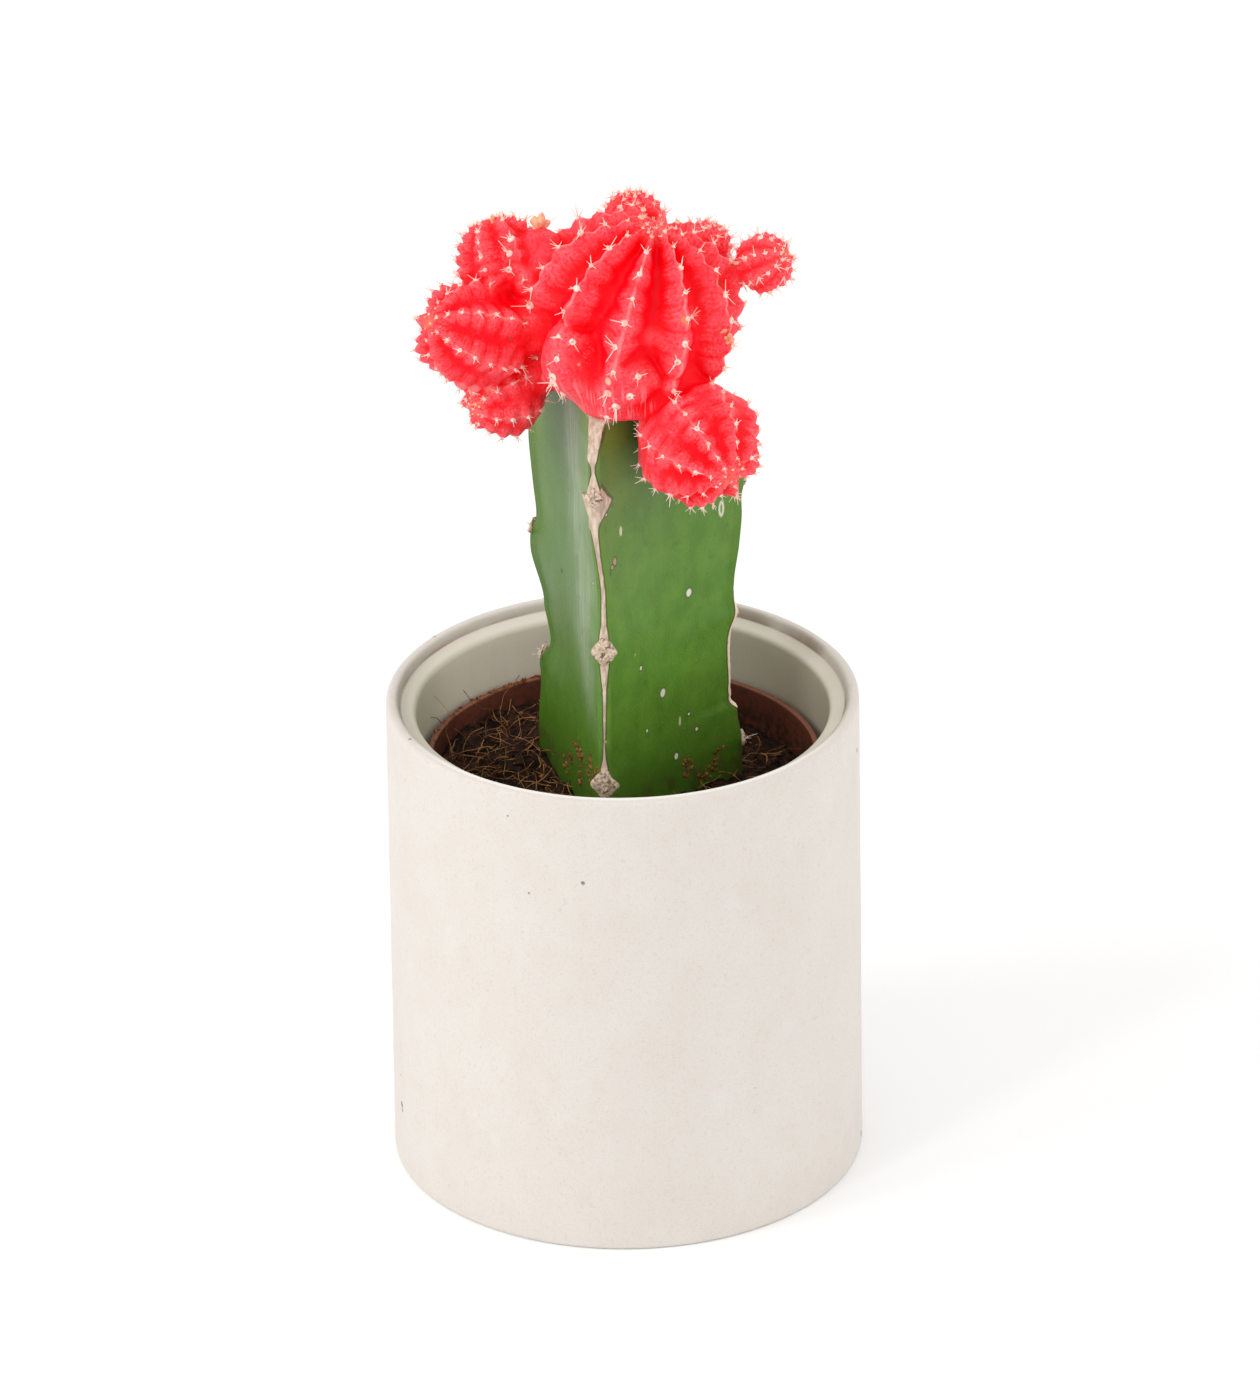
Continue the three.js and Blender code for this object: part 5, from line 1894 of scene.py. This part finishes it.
def rounded(profile):
    """Cuts each marked corner of a profile to a small arc of several points."""
    points = [np.array(point[:2], float) for point in profile]
    result = [points[0]]
    for before, corner, after, radius in zip(points, points[1:], points[2:],
                                             [point[2] for point in profile[1:-1]]):
        if radius <= 0:
            result.append(corner)
            continue
        first = corner + (before - corner) / np.linalg.norm(before - corner) * radius
        last = corner + (after - corner) / np.linalg.norm(after - corner) * radius
        for step in range(ARC_STEPS + 1):
            t = step / ARC_STEPS
            result.append((1 - t) ** 2 * first + 2 * t * (1 - t) * corner + t ** 2 * last)
    result.append(points[-1])
    return result


def refined(profile, longest):
    """Adds points along long straight runs."""
    result = [profile[0]]
    for start, end in zip(profile, profile[1:]):
        pieces = max(1, math.ceil(np.linalg.norm(end - start) / longest))
        result += [start + (end - start) * (step / pieces) for step in range(1, pieces + 1)]
    return result


def turned(name, profile, columns, uneven_mm):
    """Sweeps a profile round the axis, a little unevenly."""
    rows = []
    for radius, height in profile:
        row = around_axis(radius, height, columns)
        out = row * (1, 1, 0)
        out /= np.maximum(np.linalg.norm(out, axis=1), 0.001)[:, None]
        rows.append(row + out * (soft_noise(row, 9.0, 6.0) * uneven_mm)[:, None])
    return woven_mesh(name, np.array(rows) * MM)


# %% The concrete pot
POT_HEIGHT = top_of("concrete_pot")
POT_BASE = reach_of("concrete_pot") - 0.02
POT_TOP = 40.0
LIP_INNER = 37.9
LEDGE = POT_HEIGHT - 2.4
BORE_TOP = 34.9
BORE_BOTTOM = 34.5
POT_FLOOR = 11.0
# Each corner has a radius, a height and a size of its rounding.
pot_profile = rounded([
    (0.6, 0.0, 0), (POT_BASE - 0.03, 0.0, 0.8), (POT_TOP - 0.03, POT_HEIGHT - 0.02, 1.1),
    (LIP_INNER + 0.1, POT_HEIGHT - 0.02, 0.7), (LIP_INNER - 0.2, LEDGE + 0.8, 0.3),
    (BORE_TOP, LEDGE, 0.9), (BORE_BOTTOM, 13.0, 0.8), (BORE_BOTTOM - 2, POT_FLOOR, 0.8),
    (0.6, POT_FLOOR, 0)])
concrete_mesh = turned("concrete_pot_fine", refined(pot_profile, 1.6), 224, 0.045)

# Distances from the axis, in metres, where a zone of the finish fades out.
LIP_ZONE = (0.0378, 0.0390)
LEDGE_ZONE = (0.0373, 0.0376)
BORE_ZONE = (0.0345, 0.0353)
CORNER_RING = 0.0376
FRONT_HIGHLIGHT_RING = 0.0385
POT_PITS = (
    ((-32.1, 22.8, 85.0), 0.45, 0.7), ((-26.5, 26.1, 85.0), 0.55, 0.85),
    ((-35.6, -15.9, 85.0), 0.40, 0.6), ((39.4, -7.3, 77.4), 0.55, 0.8),
    ((-7.0, -39.4, 69.8), 0.40, 0.85), ((-38.8, -11.0, 12.4), 0.7, 0.8),
    ((40.0, -5.4, 2.4), 0.7, 0.7), ((-38.7, -11.2, 11.4), 0.5, 0.7),
)
POT_PATCHES = (((15.1, -37.3, 27.5), 2.4), ((27.0, -29.7, 36.5), 2.2), ((18.2, -35.7, 64.2), 2.6),
               ((19.4, -35.0, 80.0), 2.2), ((-22.6, -33.3, 17.8), 2.0))


def concrete_finish():
    paint = Paint("concrete", 0.62, Specular_IOR_Level=0.35)
    up = paint.axis("Z")
    away = (paint.axis("X") ** 2.0 + paint.axis("Y") ** 2.0).math("SQRT")
    right = paint.axis("X").ramp(-0.012, 0.030)
    cloud = paint.noise(13.0, 4.0)
    blotch = paint.noise(4.0, 5.0, (1, 1, 0.7))
    fine = paint.noise(0.8, 4.0)
    sand = paint.noise(0.3, 2.0)
    paint.base(cloud.ramp(0.2, 0.8), (0.712, 0.668, 0.618), (0.690, 0.640, 0.585))
    paint.over(blotch.ramp(0.50, 0.75) * 0.3, (0.740, 0.700, 0.652))
    paint.over((1.0 - blotch.ramp(0.26, 0.46)) * 0.2, (0.640, 0.570, 0.490))
    paint.over(sand.ramp(0.50, 0.66) * 0.26, (0.56, 0.50, 0.43))
    paint.over(fine.ramp(0.60, 0.70) * 0.30, (0.57, 0.50, 0.42))
    lip = 1.0 - away.ramp(*LIP_ZONE)
    stain = paint.noise(11.0, 4.0).ramp(0.35, 0.65)
    high = up.ramp(0.079, 0.081)
    # Painted shade: the lip is painted darker tan towards its inner edge, where it rounds inwards.
    paint.over(lip * high * 0.30, (0.545, 0.480, 0.395))
    # Painted highlight: a thin near-white line along the inner edge of the lip at the front.
    front = 1.0 - paint.axis("Y").ramp(-0.032, -0.012)
    edge = (1.0 - (away - FRONT_HIGHLIGHT_RING).math("ABSOLUTE").ramp(0.0003, 0.0010)) * high * front
    paint.over(edge * 0.9, (0.930, 0.915, 0.880))
    paint.over(lip * high * stain * right * 0.7, (0.330, 0.245, 0.180))
    ledge = (1.0 - away.ramp(*LEDGE_ZONE)) * high
    paint.over(ledge * 0.8, (0.730, 0.680, 0.585))
    corner = (1.0 - (away - CORNER_RING).math("ABSOLUTE").ramp(0.0, 0.0003)) * high
    paint.over(corner * (stain * 0.5 + 0.35), (0.25, 0.17, 0.12))
    # The bore is painted a warm light grey, lighter than the outside, partly standing for light on
    # its left side. Its right side is painted dark brown as a painted shadow of the stem; noise
    # adds patches.
    bore = (1.0 - away.ramp(*BORE_ZONE)) * up.ramp(0.004, 0.006)
    patch_noise = paint.noise(9.0, 3.0, (1, 1, 0.3)).ramp(0.35, 0.70)
    paint.over(bore * 0.95, (0.990, 0.905, 0.730))
    paint.over(bore * (patch_noise * 0.12 + right * 0.86), (0.320, 0.260, 0.185))
    hole = (1.0 - paint.cells(6.5).ramp(0.02, 0.04)) * paint.noise(9.0, 1.0).ramp(0.50, 0.56)
    pits = hole * 0.7
    for place, radius, strength in POT_PITS:
        pits = pits.at_least(paint.near(place, radius) * strength)
    paint.over(pits, (0.20, 0.16, 0.13))
    for place, radius in POT_PATCHES:
        patch = paint.near(place, radius, 0.2) * blotch.ramp(0.35, 0.6)
        paint.over(patch * 0.6, (0.700, 0.690, 0.650))
    paint.roughness(0.52 + cloud * 0.2)
    return paint.bump(sand * 0.4 + fine * 0.5 - pits * 4.0, 0.10, 0.6)


CONCRETE = concrete_finish()
piece("concrete_pot_fine", concrete_mesh, "concrete_pot", CONCRETE)

# %% The nursery pot
NURSERY_BASE = foot_of("nursery_pot")
NURSERY_TOP = top_of("nursery_pot")
RIM_BOTTOM = NURSERY_TOP - 9.0
DRAIN_HOLES, DRAIN_CIRCLE, DRAIN_RADIUS = 6, 15.5, 2.6
nursery_profile = rounded([
    (0.6, NURSERY_BASE, 0), (24.0, NURSERY_BASE, 0.8), (31.4, RIM_BOTTOM, 0.0),
    (32.9, RIM_BOTTOM + 0.2, 0.35), (reach_of("nursery_pot") - 0.02, NURSERY_TOP, 0.3),
    (32.4, NURSERY_TOP, 0.3), (32.0, RIM_BOTTOM + 1.3, 0.3), (30.4, RIM_BOTTOM + 0.3, 0.3),
    (23.0, NURSERY_BASE + 1.6, 0.3), (22.4, NURSERY_BASE + 1.0, 0.2),
    (0.6, NURSERY_BASE + 1.0, 0)])
nursery_mesh = turned("nursery_pot_fine", refined(nursery_profile, 2.5), 176, 0.05)


def drilled(mesh):
    """Cuts the drain holes of the base."""
    drills = bmesh.new()
    for i in range(DRAIN_HOLES):
        way = 2 * math.pi * i / DRAIN_HOLES
        spot = Vector((math.sin(way) * DRAIN_CIRCLE, -math.cos(way) * DRAIN_CIRCLE,
                       NURSERY_BASE + 0.5))
        bmesh.ops.create_cone(drills, cap_ends=True, segments=24, radius1=DRAIN_RADIUS * MM,
                              radius2=DRAIN_RADIUS * MM, depth=6 * MM,
                              matrix=Matrix.Translation(spot * MM))
    cutter = place_object("drills", as_mesh(drills, "drills"))
    carrier = place_object("undrilled", mesh)
    cut = carrier.modifiers.new("drill", "BOOLEAN")
    cut.operation = "DIFFERENCE"
    cut.object = cutter
    result = applied(carrier)
    bpy.data.objects.remove(cutter)
    return result


def brown_plastic():
    paint = Paint("brown_plastic", 0.42, Specular_IOR_Level=0.45)
    cloud = paint.noise(8.0, 3.0)
    dust = paint.noise(1.1, 5.0)
    up = paint.axis("Z")
    paint.base(cloud, (0.170, 0.040, 0.020), (0.105, 0.024, 0.013))
    paint.over(dust.ramp(0.48, 0.66) * 0.50, (0.034, 0.016, 0.011))
    muddy = (1.0 - up.ramp(0.0685, 0.0722)) * dust.ramp(0.35, 0.6)
    paint.over(muddy * 0.85, (0.028, 0.014, 0.009))
    # The rim's top edge is painted a lighter orange-brown: wear, and a painted highlight on the
    # rim.
    worn = up.ramp(0.0731, 0.0736)
    paint.over(worn * 0.6, (0.36, 0.13, 0.07))
    paint.roughness(0.40 + dust * 0.3)
    return paint.bump(dust, 0.12, 0.5)


PLASTIC = brown_plastic()
piece("nursery_pot_fine", drilled(nursery_mesh), "nursery_pot", PLASTIC)

# %% [markdown]
# ## Floor and light
#
# The plant stands on a white sweep in the light of a studio: soft light from all sides, and one
# large lamp above and to the left that gives the round forms their shape.


# %% Floor, sky and lamps
def white_floor():
    sheet = bmesh.new()
    bmesh.ops.create_grid(sheet, x_segments=2, y_segments=2, size=6.0)
    floor = place_object("floor", as_mesh(sheet, "floor"))
    paint = Paint("floor_white", 0.9, Specular_IOR_Level=0.1)
    paint.base(paint.noise(400.0, 1.0), (0.98, 0.98, 0.98), (0.985, 0.985, 0.985))
    floor.data.materials.append(paint.material)
    return floor


def lamp(name, place, size, watts, target=(0, 0, 0.09)):
    data = bpy.data.lights.new(name, "AREA")
    data.shape = "DISK"
    data.size = size
    data.energy = watts
    thing = bpy.data.objects.new(name, data)
    bpy.context.scene.collection.objects.link(thing)
    way = Vector(target) - Vector(place)
    thing.matrix_world = (Matrix.Translation(Vector(place))
                          @ way.to_track_quat("-Z", "Y").to_matrix().to_4x4())
    return thing


white_floor()
sky = bpy.data.worlds.new("sky")
sky.use_nodes = True
sky.node_tree.nodes["Background"].inputs["Color"].default_value = (1.0, 1.0, 1.0, 1.0)
sky.node_tree.nodes["Background"].inputs["Strength"].default_value = 0.93
bpy.context.scene.world = sky
lamp("key", (-1.25, -0.45, 1.05), 0.75, 6.0)
lamp("side", (-0.95, -1.05, 1.00), 0.22, 2.6)
lamp("fill", (1.4, -0.15, 0.8), 0.9, 3.6)
bpy.context.scene.view_settings.view_transform = "Standard"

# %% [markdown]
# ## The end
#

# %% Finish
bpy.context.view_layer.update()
